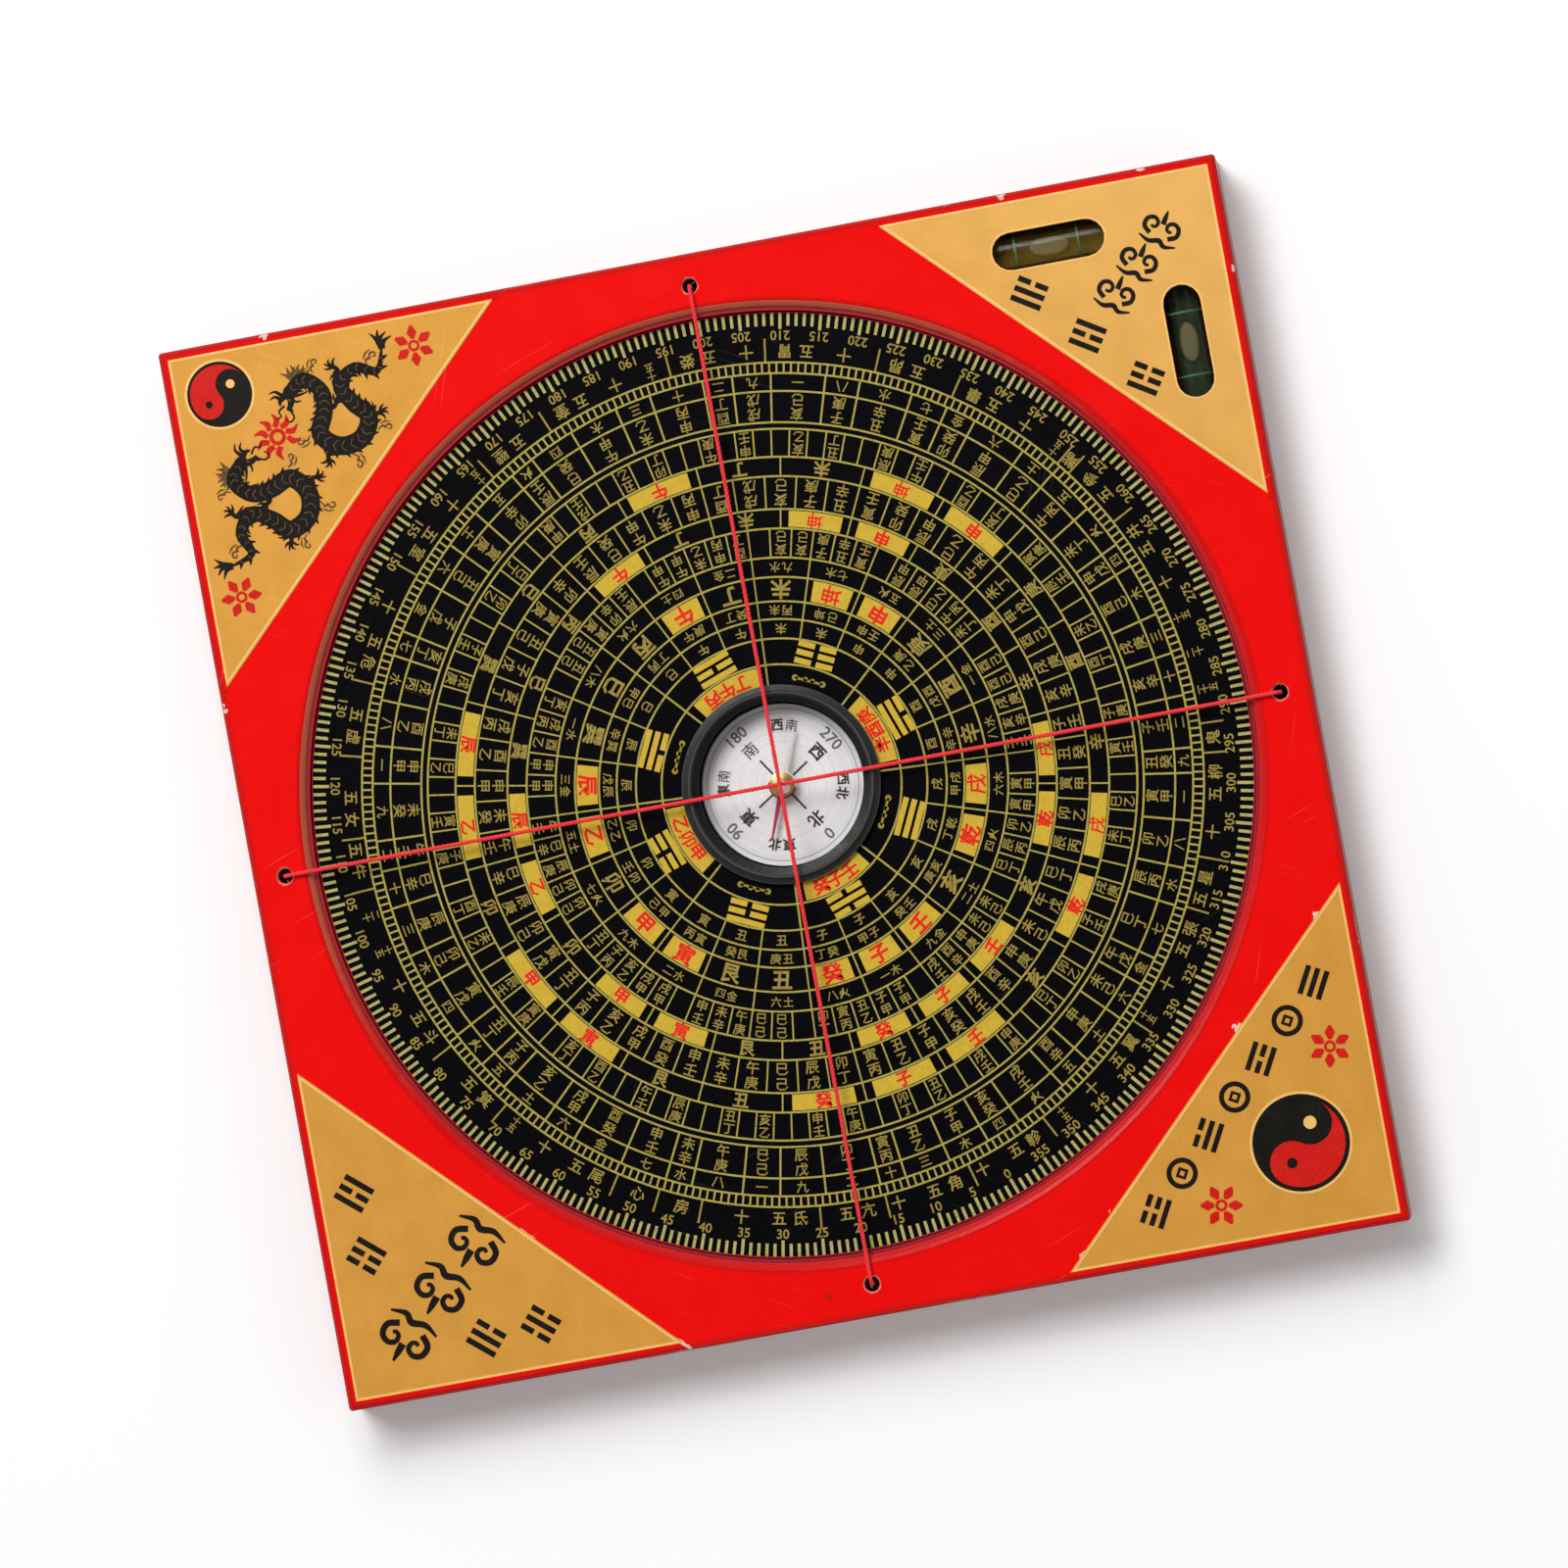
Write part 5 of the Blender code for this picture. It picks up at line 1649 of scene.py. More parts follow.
CLOUD_CURL = curl((-0.24, 0.06), 180.0, 1.1, 0.25)
CLOUD_CURL_WIDTHS = (0.12, 0.11, 0.09, 0.07)
CLOUD: Strokes = (
    (CLOUD_CURL, CLOUD_CURL_WIDTHS),
    ([(-x, y) for x, y in CLOUD_CURL], CLOUD_CURL_WIDTHS),
    (((0.0, 0.12), (0.0, 0.30), (0.0, 0.48)), (0.14, 0.12, 0.04)),
    (
        ((-0.48, -0.30), (-0.20, -0.38), (0.05, -0.30), (0.22, -0.40), (0.50, -0.32)),
        (0.04, 0.11, 0.13, 0.11, 0.04),
    ),
)
SMOKE: Strokes = (
    (curl((0.0, 0.0), 270.0, 1.0, 0.9), (0.45, 0.40, 0.30, 0.22)),
    (((-2.6, -0.6), (-1.6, 0.4), (-0.8, -0.1)), (0.2, 0.5, 0.45)),
    (((-2.2, 0.8), (-1.0, 1.4), (0.3, 1.3)), (0.15, 0.40, 0.15)),
)
TRIGRAM_LINES = ("111", "110", "101", "100", "011", "010", "001", "000")
BLACK_MARKS = (
    *row([Motif.CLOUD] * 3, (83.5, 83.7), (73.6, 74.0), 7.0, 32.0),
    *row([Motif.TRIGRAM] * 3, (58.7, 76.9), (76.1, 58.4), 6.2, 32.0, 1),
    *row([Motif.TRIGRAM, Motif.COIN] * 3 + [Motif.TRIGRAM], (85.8, -51.1), (51.4, -85.6), 5.8, 118.0),
    *row([Motif.CLOUD] * 3, (-67.9, -69.9), (-82.8, -84.0), 9.6, 220.0),
    *row([Motif.TRIGRAM] * 2, (-87.3, -57.3), (-87.1, -68.5), 6.4, 220.0, 2),
    *row([Motif.TRIGRAM] * 2, (-68.8, -86.5), (-58.8, -85.8), 6.4, 220.0, 4),
)
RED_MARKS = (
    Mark(Motif.ROSETTE, (-49.9, 88.0), 7.2, 0.0),
    Mark(Motif.ROSETTE, (-88.0, 49.9), 7.2, 30.0),
    Mark(Motif.ROSETTE, (86.6, -62.6), 7.4, 10.0),
    Mark(Motif.ROSETTE, (62.9, -86.6), 7.4, 40.0),
)


@dataclass(frozen=True)
class TaijiDisc:
    """A round figure of two halves, each with a dot of its own."""

    name: str
    centre: Point
    radius: float
    bearing: float
    red_side: float
    outline_share: float = 0.09
    gold_dot_share: float = 0.135
    black_dot_share: float = 0.11
    halo_width: float = 0.45
    steps: int = 24

    @property
    def inner(self) -> float:
        """The radius inside the black outline."""
        return self.radius * (1.0 - self.outline_share)

    def prints(self) -> list[Print]:
        """Return the figure's printed pieces."""
        gold, black, red = FINISHES.pale_gold, FINISHES.ink_black, FINISHES.ink_red
        return [
            Print(self.name + "_halo", gold, self.halo),
            Print(self.name + "_black", black, self.black, 1),
            Print(self.name + "_red", red, self.red, 2),
            Print(self.name + "_black_dot", black, partial(self.dot, 180.0, self.black_dot_share), 3),
            Print(self.name + "_gold_dot", gold, partial(self.dot, 0.0, self.gold_dot_share), 3),
        ]

    def halo(self, relief: Relief) -> None:
        """Draw the pale line round the figure."""
        relief.ring(self.radius + self.halo_width / 2, self.halo_width, 3 * self.steps, self.centre)

    def black(self, relief: Relief) -> None:
        """Draw the black ground."""
        relief.disc(self.centre, self.radius, 3 * self.steps)

    def red(self, relief: Relief) -> None:
        """Draw the red half, which bulges round the point opposite the figure's bearing.

        Args:
            relief: the relief to add to.
        """
        back, half_turn = self.bearing + 180.0, self.red_side * 180.0
        near, far = (spot(self.inner / 2, bearing, self.centre) for bearing in (back, self.bearing))
        outline = arc(self.inner, back, back + half_turn, self.steps, self.centre)[:-1]
        outline += arc(self.inner / 2, self.bearing, self.bearing - half_turn, self.steps // 2, far)[:-1]
        outline += arc(self.inner / 2, self.bearing, self.bearing + half_turn, self.steps // 2, near)[:-1]
        relief.prism(outline[::-1] if self.red_side > 0 else outline)

    def dot(self, turn: float, share: float, relief: Relief) -> None:
        """Draw the dot on the half that is turned from the figure's bearing."""
        place = spot(self.inner / 2, self.bearing + turn, self.centre)
        relief.disc(place, self.radius * share, self.steps)


@dataclass(frozen=True)
class Dragon:
    """A long winding dragon drawn in brush strokes; its places are in the corner's own frame.

    A leg's place is a point of the smooth spine and the direction that the leg points in. A puff of smoke also
    has its scale.
    """

    spine: tuple[Point, ...] = (
        (-52.6, 90.4), (-54.4, 86.0), (-58.8, 87.4), (-62.6, 84.6), (-60.6, 80.4),
        (-57.8, 77.0), (-60.0, 72.8), (-64.8, 72.0), (-68.4, 75.2), (-66.8, 79.6),
        (-66.6, 83.8), (-70.0, 87.0), (-73.6, 84.6),
    )
    girth: tuple[float, ...] = (0.4, 1.6, 2.4, 3.0, 3.5, 3.8, 3.9, 3.9, 3.8, 3.6, 3.3, 3.0, 2.7)
    spine_steps: int = 8
    middle: Point = (-63.2, 81.2)
    place: Point = (-64.6, 80.8)
    size_share: float = 0.85
    fin_every: int = 3
    fin_length: float = 1.0
    fin_widths: Pair = (0.9, 0.15)
    fin_root_share: float = 0.4
    fin_lean_share: float = 0.7
    scale_width: float = 0.20
    scale_reach_share: float = 0.30
    scale_bulge_share: float = 0.20
    head_turn: float = -110.0
    head_scale: float = 1.05
    head: Strokes = (
        (((-1.2, 0.0), (0.0, 0.1), (1.0, 0.3)), (1.9, 2.5, 2.0)),
        (((0.4, 0.6), (1.9, 0.9), (3.2, 0.5)), (1.6, 1.2, 0.6)),
        (((2.7, 0.9), (3.3, 1.6)), (0.7, 0.3)),
        (((0.2, -0.4), (1.6, -1.3), (2.6, -1.1)), (1.4, 0.9, 0.3)),
        (((-0.3, 0.8), (-1.5, 2.0), (-3.2, 2.2)), (0.8, 0.6, 0.2)),
        (((-1.5, 2.0), (-1.8, 3.2)), (0.5, 0.2)),
        (((0.2, 1.0), (-0.3, 2.4), (-1.2, 3.8)), (0.8, 0.5, 0.2)),
        (((1.0, 1.0), (1.2, 2.0), (0.8, 2.8)), (0.6, 0.4, 0.2)),
        (((1.3, -1.3), (1.0, -2.5), (1.8, -3.4)), (0.8, 0.5, 0.15)),
        (((0.5, -1.2), (0.0, -2.6), (0.6, -3.8)), (0.8, 0.5, 0.15)),
        (((2.9, 0.8), (4.3, 2.0), (5.4, 1.4), (4.9, 0.5)), (0.40, 0.34, 0.28, 0.22)),
        (((2.4, -0.3), (3.7, -1.2), (4.6, -0.6), (5.4, -1.6)), (0.40, 0.34, 0.28, 0.22)),
    )
    eye: Strokes = ((((0.9, 0.5), (1.4, 0.6)), (0.5, 0.35)),)
    leg: Strokes = (
        (((-0.6, -0.2), (1.2, 0.9), (2.4, 0.3), (3.5, 1.2)), (2.6, 1.8, 1.1, 0.9)),
        (((3.4, 1.0), (4.5, 1.9), (5.3, 1.6)), (0.7, 0.5, 0.15)),
        (((3.4, 1.2), (4.0, 2.3), (4.6, 2.9)), (0.7, 0.5, 0.15)),
        (((3.3, 1.2), (3.1, 2.3), (3.4, 3.2)), (0.7, 0.5, 0.15)),
        (((3.4, 1.0), (4.6, 0.8), (5.2, 0.2)), (0.7, 0.5, 0.15)),
        (((1.0, 0.8), (0.2, 1.9), (-0.9, 2.2)), (0.9, 0.6, 0.15)),
        (((1.6, 0.6), (1.4, 1.8), (0.6, 2.6)), (0.8, 0.5, 0.15)),
    )
    leg_places: tuple[tuple[int, float], ...] = ((22, 95.0), (37, -35.0), (58, -140.0), (72, 10.0))
    leg_scale: float = 0.92
    fan: tuple[tuple[Point, ...], ...] = (
        ((0.0, 0.0), (1.6, 0.9), (3.2, 0.4)),
        ((0.0, 0.0), (1.4, 0.1), (2.8, -0.9)),
        ((0.0, 0.0), (1.2, 1.6), (1.8, 3.2)),
        ((0.0, 0.0), (1.6, 1.4), (3.0, 2.0)),
    )
    fan_widths: tuple[float, ...] = (1.2, 0.8, 0.12)
    fan_scale: float = 1.1
    tail_turn: float = 60.0
    mane_point: int = -6
    mane_turns: tuple[float, ...] = (0.0, 40.0, 80.0)
    smoke: tuple[tuple[int, float, float], ...] = (
        (14, 35.0, 1.0), (30, -60.0, 0.9), (44, -10.0, 0.9),
        (52, -80.0, 1.0), (64, 190.0, 0.9), (86, 60.0, 0.9),
    )
    smoke_reach: float = 2.6

    @staticmethod
    def transfer(strokes: Strokes, place: Point, turn: float, scale: float = 1.0) -> Strokes:
        """Return strokes moved to a place.

        Args:
            strokes: the strokes about (0, 0), forward along +X.
            place: where (0, 0) goes.
            turn: the direction of +X, counterclockwise in degrees.
            scale: how much they grow.

        Returns:
            The strokes in place.
        """
        cos, sin = math.cos(math.radians(turn)) * scale, math.sin(math.radians(turn)) * scale
        moved = []
        for points, widths in strokes:
            line = [(place[0] + x * cos - y * sin, place[1] + x * sin + y * cos) for x, y in points]
            moved.append((line, [width * scale for width in widths]))
        return moved

    def fins_and_scales(self, path: Sequence[Point], widths: Sequence[float]) -> tuple[Strokes, Strokes]:
        """Return the fins along the back, and the scales across the body.

        Args:
            path: the points of the back.
            widths: the body's width at each.

        Returns:
            The fins' strokes and the scales' strokes.
        """
        fins, scales = [], []
        for index in range(self.fin_every, len(path) - self.fin_every, self.fin_every):
            here, width = Vector(path[index]), widths[index]
            run = (Vector(path[index + 1]) - Vector(path[index - 1])).normalized()
            side = Vector((-run.y, run.x))
            root = here + side * width * self.fin_root_share
            tip = root + side * self.fin_length - run * self.fin_length * self.fin_lean_share
            fins.append(((tuple(root), tuple(tip)), self.fin_widths))
            reach, bulge = side * width * self.scale_reach_share, run * width * self.scale_bulge_share
            line = (tuple(here + reach), tuple(here + bulge), tuple(here - reach))
            scales.append((line, (self.scale_width,) * 3))
        return fins, scales

    def strokes(self) -> tuple[Strokes, Strokes, Strokes]:
        """Draw the dragon.

        Returns:
            Its dark strokes, the pale ones drawn on them, and the brown smoke and mane round it.
        """
        path = smooth_path(self.spine, self.spine_steps)
        widths = spread(self.girth, len(path))
        fins, pale = self.fins_and_scales(path, widths)
        fan = [(points, self.fan_widths) for points in self.fan]
        dark, brown = [(self.spine, self.girth), *fins], []
        dark += self.transfer(self.head, self.spine[-1], self.head_turn, self.head_scale)
        dark += self.transfer(fan, self.spine[0], self.tail_turn, self.fan_scale)
        for turn in self.mane_turns:
            brown += self.transfer(fan, path[self.mane_point], turn, self.fan_scale)
        for index, turn in self.leg_places:
            dark += self.transfer(self.leg, path[index], turn, self.leg_scale)
        for index, turn, scale in self.smoke:
            root = spot(widths[index] / 2 + self.smoke_reach, 90.0 - turn, path[index])
            brown += self.transfer(SMOKE, root, turn, scale)
        pale += self.transfer(self.eye, self.spine[-1], self.head_turn, self.head_scale)
        return self.shrink(dark), self.shrink(pale), self.shrink(brown)

    def shrink(self, strokes: Strokes) -> Strokes:
        """Return strokes made smaller about the dragon's middle and put in its place."""
        centred = self.transfer(strokes, (-self.middle[0], -self.middle[1]), 0.0)
        return self.transfer(centred, self.place, 0.0, self.size_share)


@dataclass(frozen=True)
class CornerPlates:
    """The four gold corner plates with their edge lines and ornaments."""

    line: float = 0.42
    slant_inset: float = 0.05
    border: float = 1.55
    border_lap: float = 0.95
    window_half_length: float = 10.0
    window_radius: float = 3.3
    window_line: float = 0.26
    window_line_gap: float = 0.06
    stroke_rise: float = 0.0004
    pearl: Point = (-76.6, 76.6)
    pearl_ring: Pair = (1.15, 0.7)
    flames: int = 9
    flame_bearing: float = -45.0
    flame_step: float = 36.0
    flame_line: tuple[Point, ...] = ((1.8, 0.0), (2.9, 15.0), (4.2, 4.0))
    flame_widths: tuple[float, ...] = (0.9, 1.1, 0.2)
    small_taiji: TaijiDisc = TaijiDisc("taiji_small", (-85.4, 85.9), 5.8, 55.4, 1.0)
    large_taiji: TaijiDisc = TaijiDisc("taiji_large", (78.6, -78.3), 8.55, 33.8, -1.0)

    def build(self, shop: Workshop) -> None:
        """Dress the plates and print them.

        Args:
            shop: the workshop.
        """
        shop.dress(**{f"corner_plate_{corner}": FINISHES.gold for corner in ("ne", "nw", "sw", "se")})
        surface = span("corner_plate_nw")[1].z
        edges = Print("corner_edge_lines", FINISHES.pale_gold, self.edge_lines)
        border = Print("corner_border_strips", FINISHES.lacquer, self.border_strips)
        black, brown, red = FINISHES.ink_black, FINISHES.ink_brown, FINISHES.ink_red
        dark, pale, smoke = Dragon().strokes()
        dragons = []
        for name, mirrored in (("dragon_upper", False), ("dragon_lower", True)):
            dragons += [
                Print(name + "_smoke", brown, partial(self.strokes, smoke, mirrored)),
                Print(name, black, partial(self.strokes, dark, mirrored), 1),
                Print(name + "_scales", brown, partial(self.strokes, pale, mirrored), 4),
            ]
        shop.print(surface, "plate", "gold_plate", edges)
        shop.print(surface, "plate", "red_lacquer", border)
        shop.print(
            surface, "plate", "gold_plate",
            Print("window_edge_lines", FINISHES.pale_gold, self.window_lines),
            *self.small_taiji.prints(),
            *self.large_taiji.prints(),
            *dragons,
            Print("flaming_pearl", red, self.flaming_pearl),
            Print("corner_black_marks", black, partial(self.marks, BLACK_MARKS)),
            Print("corner_red_marks", red, partial(self.marks, RED_MARKS)),
        )

    def marks(self, marks: Sequence[Mark], relief: Relief) -> None:
        """Draw ornaments."""
        for mark in marks:
            mark.draw(relief)

    def strokes(self, strokes: Strokes, mirrored: bool, relief: Relief) -> None:
        """Draw brush strokes, each a hair higher than the one before.

        Args:
            strokes: the strokes.
            mirrored: whether they are mirrored in the corner's diagonal.
            relief: the relief to add to.
        """
        for points, widths in strokes:
            relief.stroke([(-y, -x) for x, y in points] if mirrored else points, widths)
            relief.high += self.stroke_rise

    @staticmethod
    def quarter_turn(points: Sequence[Point], turns: int) -> list[Point]:
        """Return points turned about the board's middle by quarter turns, counterclockwise."""
        cos, sin = round(math.cos(turns * math.pi / 2)), round(math.sin(turns * math.pi / 2))
        return [(x * cos - y * sin, x * sin + y * cos) for x, y in points]

    @staticmethod
    def slant_sum() -> float:
        """Return x plus y along a plate's slanted side."""
        low, high = span("corner_plate_ne")
        return high.x + low.x

    def edge_lines(self, relief: Relief) -> None:
        """Draw the pale line inside each plate's three sides.

        Args:
            relief: the relief to add to.
        """
        for turns in range(4):
            rims = []
            for inset in (self.line, 0.0):
                end = HALF_BOARD - self.border - inset
                start = self.slant_sum() + (self.slant_inset + inset) * math.sqrt(2.0) - end
                rims.append(self.quarter_turn([(start, end), (end, start), (end, end)], turns))
            relief.strip(*rims, closed=True)

    def border_strips(self, relief: Relief) -> None:
        """Draw the red border that laps over the outer edges of the plates.

        Args:
            relief: the relief to add to.
        """
        inner = HALF_BOARD - self.border
        outer = inner + self.border_lap
        start = self.slant_sum() - outer
        rims = [[(start, side), (side, side), (side, start)] for side in (outer, inner)]
        for turns in range(4):
            relief.strip(*(self.quarter_turn(rim, turns) for rim in rims))

    def window_lines(self, relief: Relief) -> None:
        """Draw the pale line round each vial window.

        Args:
            relief: the relief to add to.
        """
        for node, along_y in (("vial_x_tube", False), ("vial_y_tube", True)):
            centre = middle_of(node)
            rims = []
            for offset in (self.window_line_gap + self.window_line, self.window_line_gap):
                radius, reach = self.window_radius + offset, self.window_half_length - self.window_radius
                rim = arc(radius, 0.0, 180.0, 12, (reach, 0.0)) + arc(radius, 180.0, 360.0, 12, (-reach, 0.0))
                rim = [point[::-1] for point in rim] if along_y else rim
                rims.append([(centre.x + x, centre.y + y) for x, y in rim])
            relief.strip(rims[along_y], rims[not along_y], closed=True)

    def flaming_pearl(self, relief: Relief) -> None:
        """Draw the pearl and its flames between the dragons.

        Args:
            relief: the relief to add to.
        """
        relief.ring(*self.pearl_ring, 32, self.pearl)
        for step in range(self.flames):
            bearing = self.flame_bearing + (step - self.flames // 2) * self.flame_step
            line = [spot(length, bearing + twist, self.pearl) for length, twist in self.flame_line]
            relief.stroke(line, self.flame_widths)


def swing(side: Vector, other: Vector, share: float) -> Vector:
    """Return one side's direction turned towards the other by a share of a whole turn."""
    return side * math.cos(math.tau * share) + other * math.sin(math.tau * share)


LEAST_SIDE = 0.1


def tube_mesh(name: str, lines: Sequence[Sequence[Vector]], radius: float, sides: int) -> bpy.types.Mesh:
    """Return round closed tubes along lines.

    Args:
        name: the mesh's name.
        lines: the middles of the tubes, in millimetres.
        radius: the tubes' radius.
        sides: the number of sides.

    Returns:
        The mesh, in metres and smooth.
    """
    points, faces = [], []
    for line in lines:
        start = len(points)
        side = UP
        for index, centre in enumerate(line):
            run = run_at(line, index).normalized()
            side = side - run * side.dot(run)
            side = (side if side.length > LEAST_SIDE else run.orthogonal()).normalized()
            other = run.cross(side)
            points += [(centre + swing(side, other, step / sides) * radius) * MM for step in range(sides)]
        for low in range(start, len(points) - sides, sides):
            for step in range(sides):
                after = (step + 1) % sides
                faces.append((low + step, low + after, low + sides + after, low + sides + step))
        faces.append(tuple(start + step for step in reversed(range(sides))))
        faces.append(tuple(range(len(points) - sides, len(points))))
    mesh = make_mesh(name, points, faces)
    mesh.shade_smooth()
    return mesh


@dataclass(frozen=True)
class CrossStrings:
    """The two crossed strings of three-ply thread, and their knots under the board."""

    ply_radius: float = 0.20
    ply_reach: float = 0.19
    ply_count: int = 3
    ply_sides: int = 6
    pitch: float = 2.4
    steps_per_turn: int = 9
    bend_radius: float = 1.1
    bend_steps: int = 6
    start_height: float = 2.9
    knot_scale: float = 0.50
    knot_height: float = 0.78
    knot_steps: int = 72
    knot_sides: int = 8
    thread_radius: float = 0.45
    middle_flat: float = 2.1

    def build(self, shop: Workshop) -> None:
        """Make the threads and knots.

        Args:
            shop: the workshop.
        """
        for name, run, across in (("ew", EAST, NORTH), ("ns", NORTH, EAST)):
            lines = self.plies(self.route("cross_string_" + name, run), across)
            mesh = tube_mesh("thread_" + name, lines, self.ply_radius, self.ply_sides)
            shop.piece(mesh, FINISHES.thread, "plate", "red_string", "cross_string_" + name)
        for name in "nsew":
            node = "string_knot_" + name
            lines = [self.knot(middle_of(node))]
            mesh = tube_mesh("knot_" + name, lines, self.thread_radius, self.knot_sides)
            shop.piece(mesh, FINISHES.thread, "plate", "red_string", node)

    def route(self, node: str, run: Vector) -> list[Vector]:
        """Return a string's middle line, in even steps.

        Args:
            node: the string's solid.
            run: the direction that it runs in.

        Returns:
            The points from one end to the other.
        """
        low, high = span(node)
        reach, crossing = (high - low).dot(run) / 2 - self.thread_radius, high.z - self.thread_radius
        level = span("cross_string_ew")[1].z - self.thread_radius
        half = [(0.0, crossing), (self.middle_flat, crossing)]
        half += [(reach / 2, (crossing + level) / 2), (reach - self.bend_radius, level)]
        bend_centre = (reach - self.bend_radius, level - self.bend_radius)
        half += arc(self.bend_radius, 0.0, 90.0, self.bend_steps, bend_centre)[1:]
        half.append((reach, self.start_height))
        line = [(-x, z) for x, z in reversed(half[1:])] + half
        lengths = np.cumsum([0.0] + [math.dist(here, there) for here, there in zip(line, line[1:])])
        even = np.linspace(0.0, lengths[-1], int(lengths[-1] / self.pitch * self.steps_per_turn))
        along, heights = (np.interp(even, lengths, values) for values in zip(*line))
        return [run * place + UP * height for place, height in zip(along, heights)]

    def plies(self, route: Sequence[Vector], across: Vector) -> list[list[Vector]]:
        """Return the middle lines of the twisted plies.

        Args:
            route: the string's middle line.
            across: the direction across the string.

        Returns:
            One line for each ply.
        """
        lines = [[] for _ in range(self.ply_count)]
        for index, centre in enumerate(route):
            other = run_at(route, index).normalized().cross(across)
            for ply, line in enumerate(lines):
                share = index / self.steps_per_turn + ply / self.ply_count
                line.append(centre + swing(across, other, share) * self.ply_reach)
        return lines

    def knot(self, centre: Vector) -> list[Vector]:
        """Return the middle line of an overhand knot.

        Args:
            centre: the knot's middle.

        Returns:
            The line.
        """
        line = []
        for step in range(self.knot_steps):
            share = (step + 0.5) / self.knot_steps
            flat = swing(NORTH, EAST, share) - swing(NORTH, -EAST, 2.0 * share) * 2.0
            rise = UP * math.sin(-3.0 * math.tau * share)
            line.append(centre + flat * self.knot_scale + rise * self.knot_height)
        return line


@dataclass(frozen=True)
class LevelVials:
    """The two level vials under the windows, with their gauge rings."""

    ring_offsets: Pair = (-6.0, 5.25)
    ring_width: float = 0.35
    ring_gap: float = 0.01
    ring_proud: float = 0.06
    ring_steps: int = 32

    def build(self, shop: Workshop) -> None:
        """Dress the vials and add their rings.

        Args:
            shop: the workshop.
        """
        for vial, liquid in (("vial_x", FINISHES.liquid), ("vial_y", FINISHES.dark_liquid)):
            looks = {"tube": FINISHES.tube, "bubble": FINISHES.bubble, "plug": FINISHES.plug, "liquid": liquid}
            shop.dress(**{f"{vial}_{part}": finish for part, finish in looks.items()})
            shop.piece(self.rings(vial), FINISHES.gauge, "plate", "plug_plastic")

    def rings(self, vial: str) -> bpy.types.Mesh:
        """Return two closed bands round a vial.

        Args:
            vial: the vial's name.

        Returns:
            The mesh.
        """
        centre, (low, high) = middle_of(vial + "_tube"), span(vial + "_tube")
        inner = (high.z - low.z) / 2 + self.ring_gap
        run, across = (EAST, NORTH) if vial == "vial_x" else (NORTH, EAST)
        outer, side = inner + self.ring_proud, self.ring_width / 2
        profile = ((-side, inner), (side, inner), (side, outer), (-side, outer))
        points, faces = [], []
        for offset in self.ring_offsets:
            start = len(points)
            for step in range(self.ring_steps):
                out = swing(across, UP, step / self.ring_steps)
                points += [(centre + run * (offset + along) + out * reach) * MM for along, reach in profile]
                here, there = start + step * 4, start + (step + 1) % self.ring_steps * 4
                for corner in range(4):
                    after = (corner + 1) % 4
                    face = (here + corner, here + after, there + after, there + corner)
                    faces.append(face[::-1] if run is EAST else face)
        return make_mesh(vial + "_gauge_rings", points, faces)


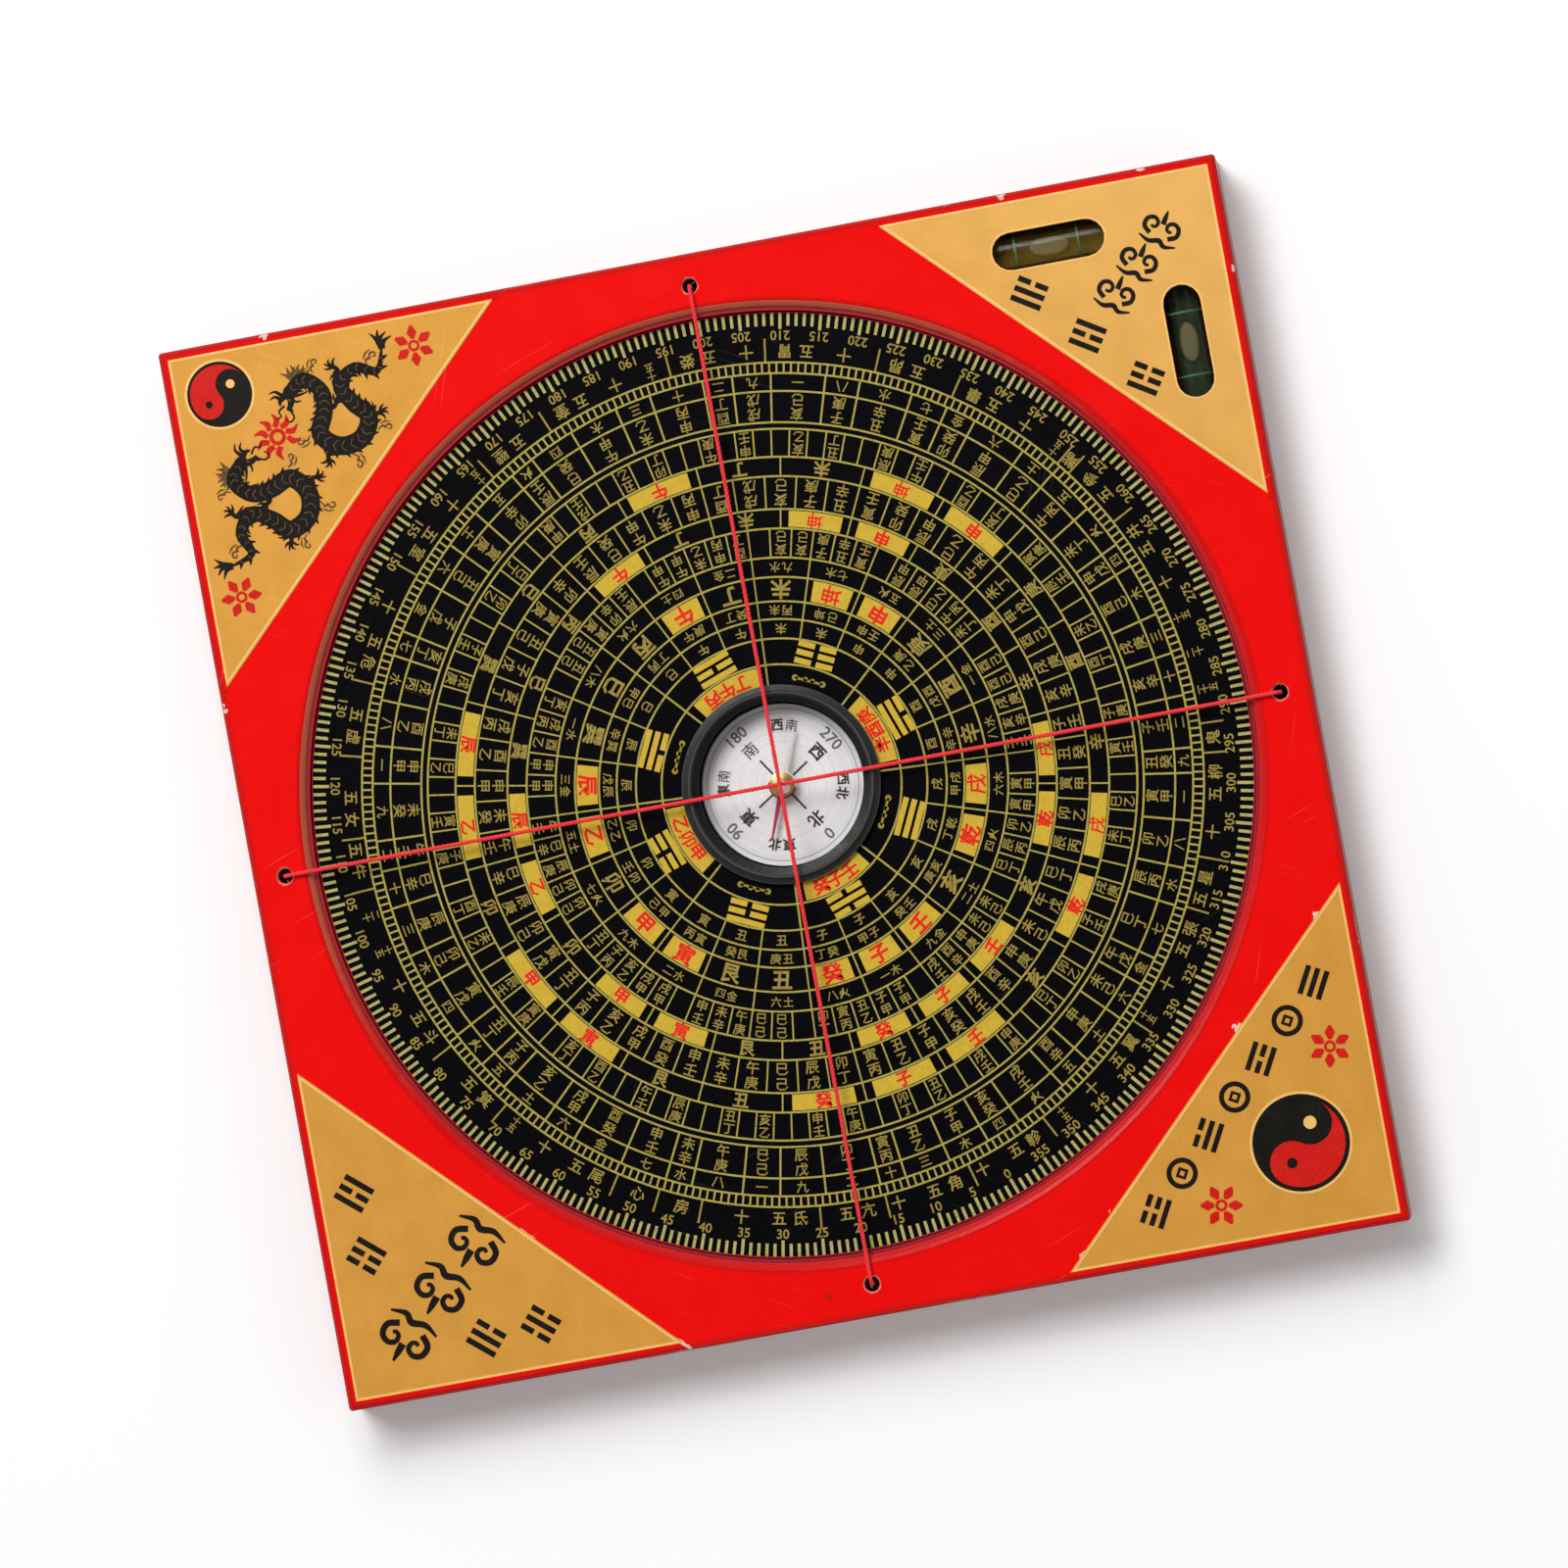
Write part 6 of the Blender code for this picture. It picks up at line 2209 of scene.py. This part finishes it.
@dataclass(frozen=True)
class Studio:
    """The floor, lights and camera, in metres. None of it is part of the compass."""

    floor_half: float = 5.0
    floor_drop: float = 0.0001
    floor_colour: Colour = (0.90, 0.90, 0.90)
    floor_roughness: float = 0.9
    floor_specular: float = 0.1
    floor_glow: float = 0.12
    white: Colour = (1.0, 1.0, 1.0)
    ambient: float = 0.46
    zenith: float = 0.03
    horizon_heights: Pair = (0.25, 0.6)
    zenith_heights: Pair = (0.80, 0.94)
    sun_power: float = 1.35
    sun_angle: float = 24.0
    sun_bearing: float = -34.6
    sun_height: float = 56.0
    lamp_power: float = 4.6
    lamp_size: float = 0.5
    lamp_place: Place = (-0.12, 0.66, 0.80)
    camera_distance: float = 1.7238
    camera_lens: float = 225.0
    camera_clip: Pair = (0.1, 20.0)
    camera_aim: Place = (0.0006055, -0.0000456, 0.014)
    camera_tilts: Pair = (4.520, -1.554)
    camera_roll: float = -10.369

    def build(self) -> None:
        """Make the studio."""
        self.make_floor()
        self.make_world()
        self.make_lamps()
        self.make_camera()
        bpy.context.scene.view_settings.view_transform = "Standard"

    @staticmethod
    def seen_directly(bench: Bench) -> Output:
        """Return 1 for rays that show a background: camera, glossy and transmission rays."""
        ray = bench.add("ShaderNodeLightPath").outputs
        return bench.most(bench.most(ray["Is Camera Ray"], ray["Is Glossy Ray"]), ray["Is Transmission Ray"])

    def make_floor(self) -> None:
        """Make the pale floor that the compass lies on."""
        corners = [spot(self.floor_half * math.sqrt(2.0), bearing) for bearing in (225.0, 135.0, 45.0, -45.0)]
        mesh = make_mesh("floor", [(x, y, -self.floor_drop) for x, y in corners], [(0, 1, 2, 3)])
        material = bpy.data.materials.new("floor")
        material.use_nodes = True
        bench = Bench(material.node_tree)
        glow = bench.times(self.seen_directly(bench), self.floor_glow)
        shader = material.node_tree.nodes["Principled BSDF"]
        for key, value in {
            "Base Color": self.floor_colour, "Roughness": self.floor_roughness, "Emission Color": self.white,
            "Specular IOR Level": self.floor_specular, "Emission Strength": glow,
        }.items():
            bench.feed(shader.inputs[key], value)
        mesh.materials.append(material)
        put_in_scene("floor", mesh)

    def make_world(self) -> None:
        """Make the light from all round: white at the horizon, and dark above, round the camera."""
        world = bpy.data.worlds.new("studio")
        world.use_nodes = True
        bench = Bench(world.node_tree)
        direction = bench.add("ShaderNodeTexCoord").outputs["Generated"]
        height = bench.add("ShaderNodeSeparateXYZ", {0: direction}).outputs[2]
        low = bench.fade(height, *self.horizon_heights, 1.0 - self.ambient, 0.0)
        high = bench.fade(height, *self.zenith_heights, self.ambient, self.zenith)
        background = world.node_tree.nodes["Background"]
        bench.feed(background.inputs["Color"], self.white)
        strength = bench.maths("MULTIPLY_ADD", self.seen_directly(bench), low, high)
        bench.feed(background.inputs["Strength"], strength)
        bpy.context.scene.world = world

    def make_lamps(self) -> None:
        """Make the soft key light from the photograph's upper left, and the lamp that brightens that side."""
        sun = bpy.data.lights.new("key", "SUN")
        sun.energy, sun.angle = self.sun_power, math.radians(self.sun_angle)
        flat = spot(math.cos(math.radians(self.sun_height)), self.sun_bearing)
        self.aim(sun, Vector((*flat, math.sin(math.radians(self.sun_height)))))
        lamp = bpy.data.lights.new("side_lamp", "AREA")
        lamp.energy, lamp.size = self.lamp_power, self.lamp_size
        self.aim(lamp, Vector(self.lamp_place))

    @staticmethod
    def aim(light: bpy.types.Light, place: Vector) -> None:
        """Put a light at a place, facing the compass.

        Args:
            light: the light.
            place: its place.
        """
        item = put_in_scene(light.name, light)
        item.location = place
        item.rotation_euler = place.to_track_quat("Z", "Y").to_euler()
        item.visible_camera = False

    def make_camera(self) -> None:
        """Make the camera, nearly straight above the board, as in the photograph."""
        tilts = [math.tan(math.radians(tilt)) for tilt in self.camera_tilts]
        back = Vector((*tilts, 1.0)).normalized()
        right = NORTH.cross(back).normalized()
        up = back.cross(right)
        roll = self.camera_roll / 360.0
        turned = Matrix((swing(right, up, roll), swing(up, -right, roll), back)).transposed()
        data = bpy.data.cameras.new("camera")
        data.lens = self.camera_lens
        data.clip_start, data.clip_end = self.camera_clip
        camera = put_in_scene("camera", data)
        place = Vector(self.camera_aim) + back * self.camera_distance
        camera.matrix_world = Matrix.Translation(place) @ turned.to_4x4()
        bpy.context.scene.camera = camera


def main() -> None:
    """Build the studio and the compass's sub-assemblies in order."""
    logging.basicConfig(level=logging.INFO, format="%(name)s: %(message)s")
    Studio().build()
    shop = Workshop()
    for assembly in (Well(), DialPrint(), Capsule(), CornerPlates(), LevelVials(), CrossStrings()):
        assembly.build(shop)


if __name__ == "__main__":
    main()
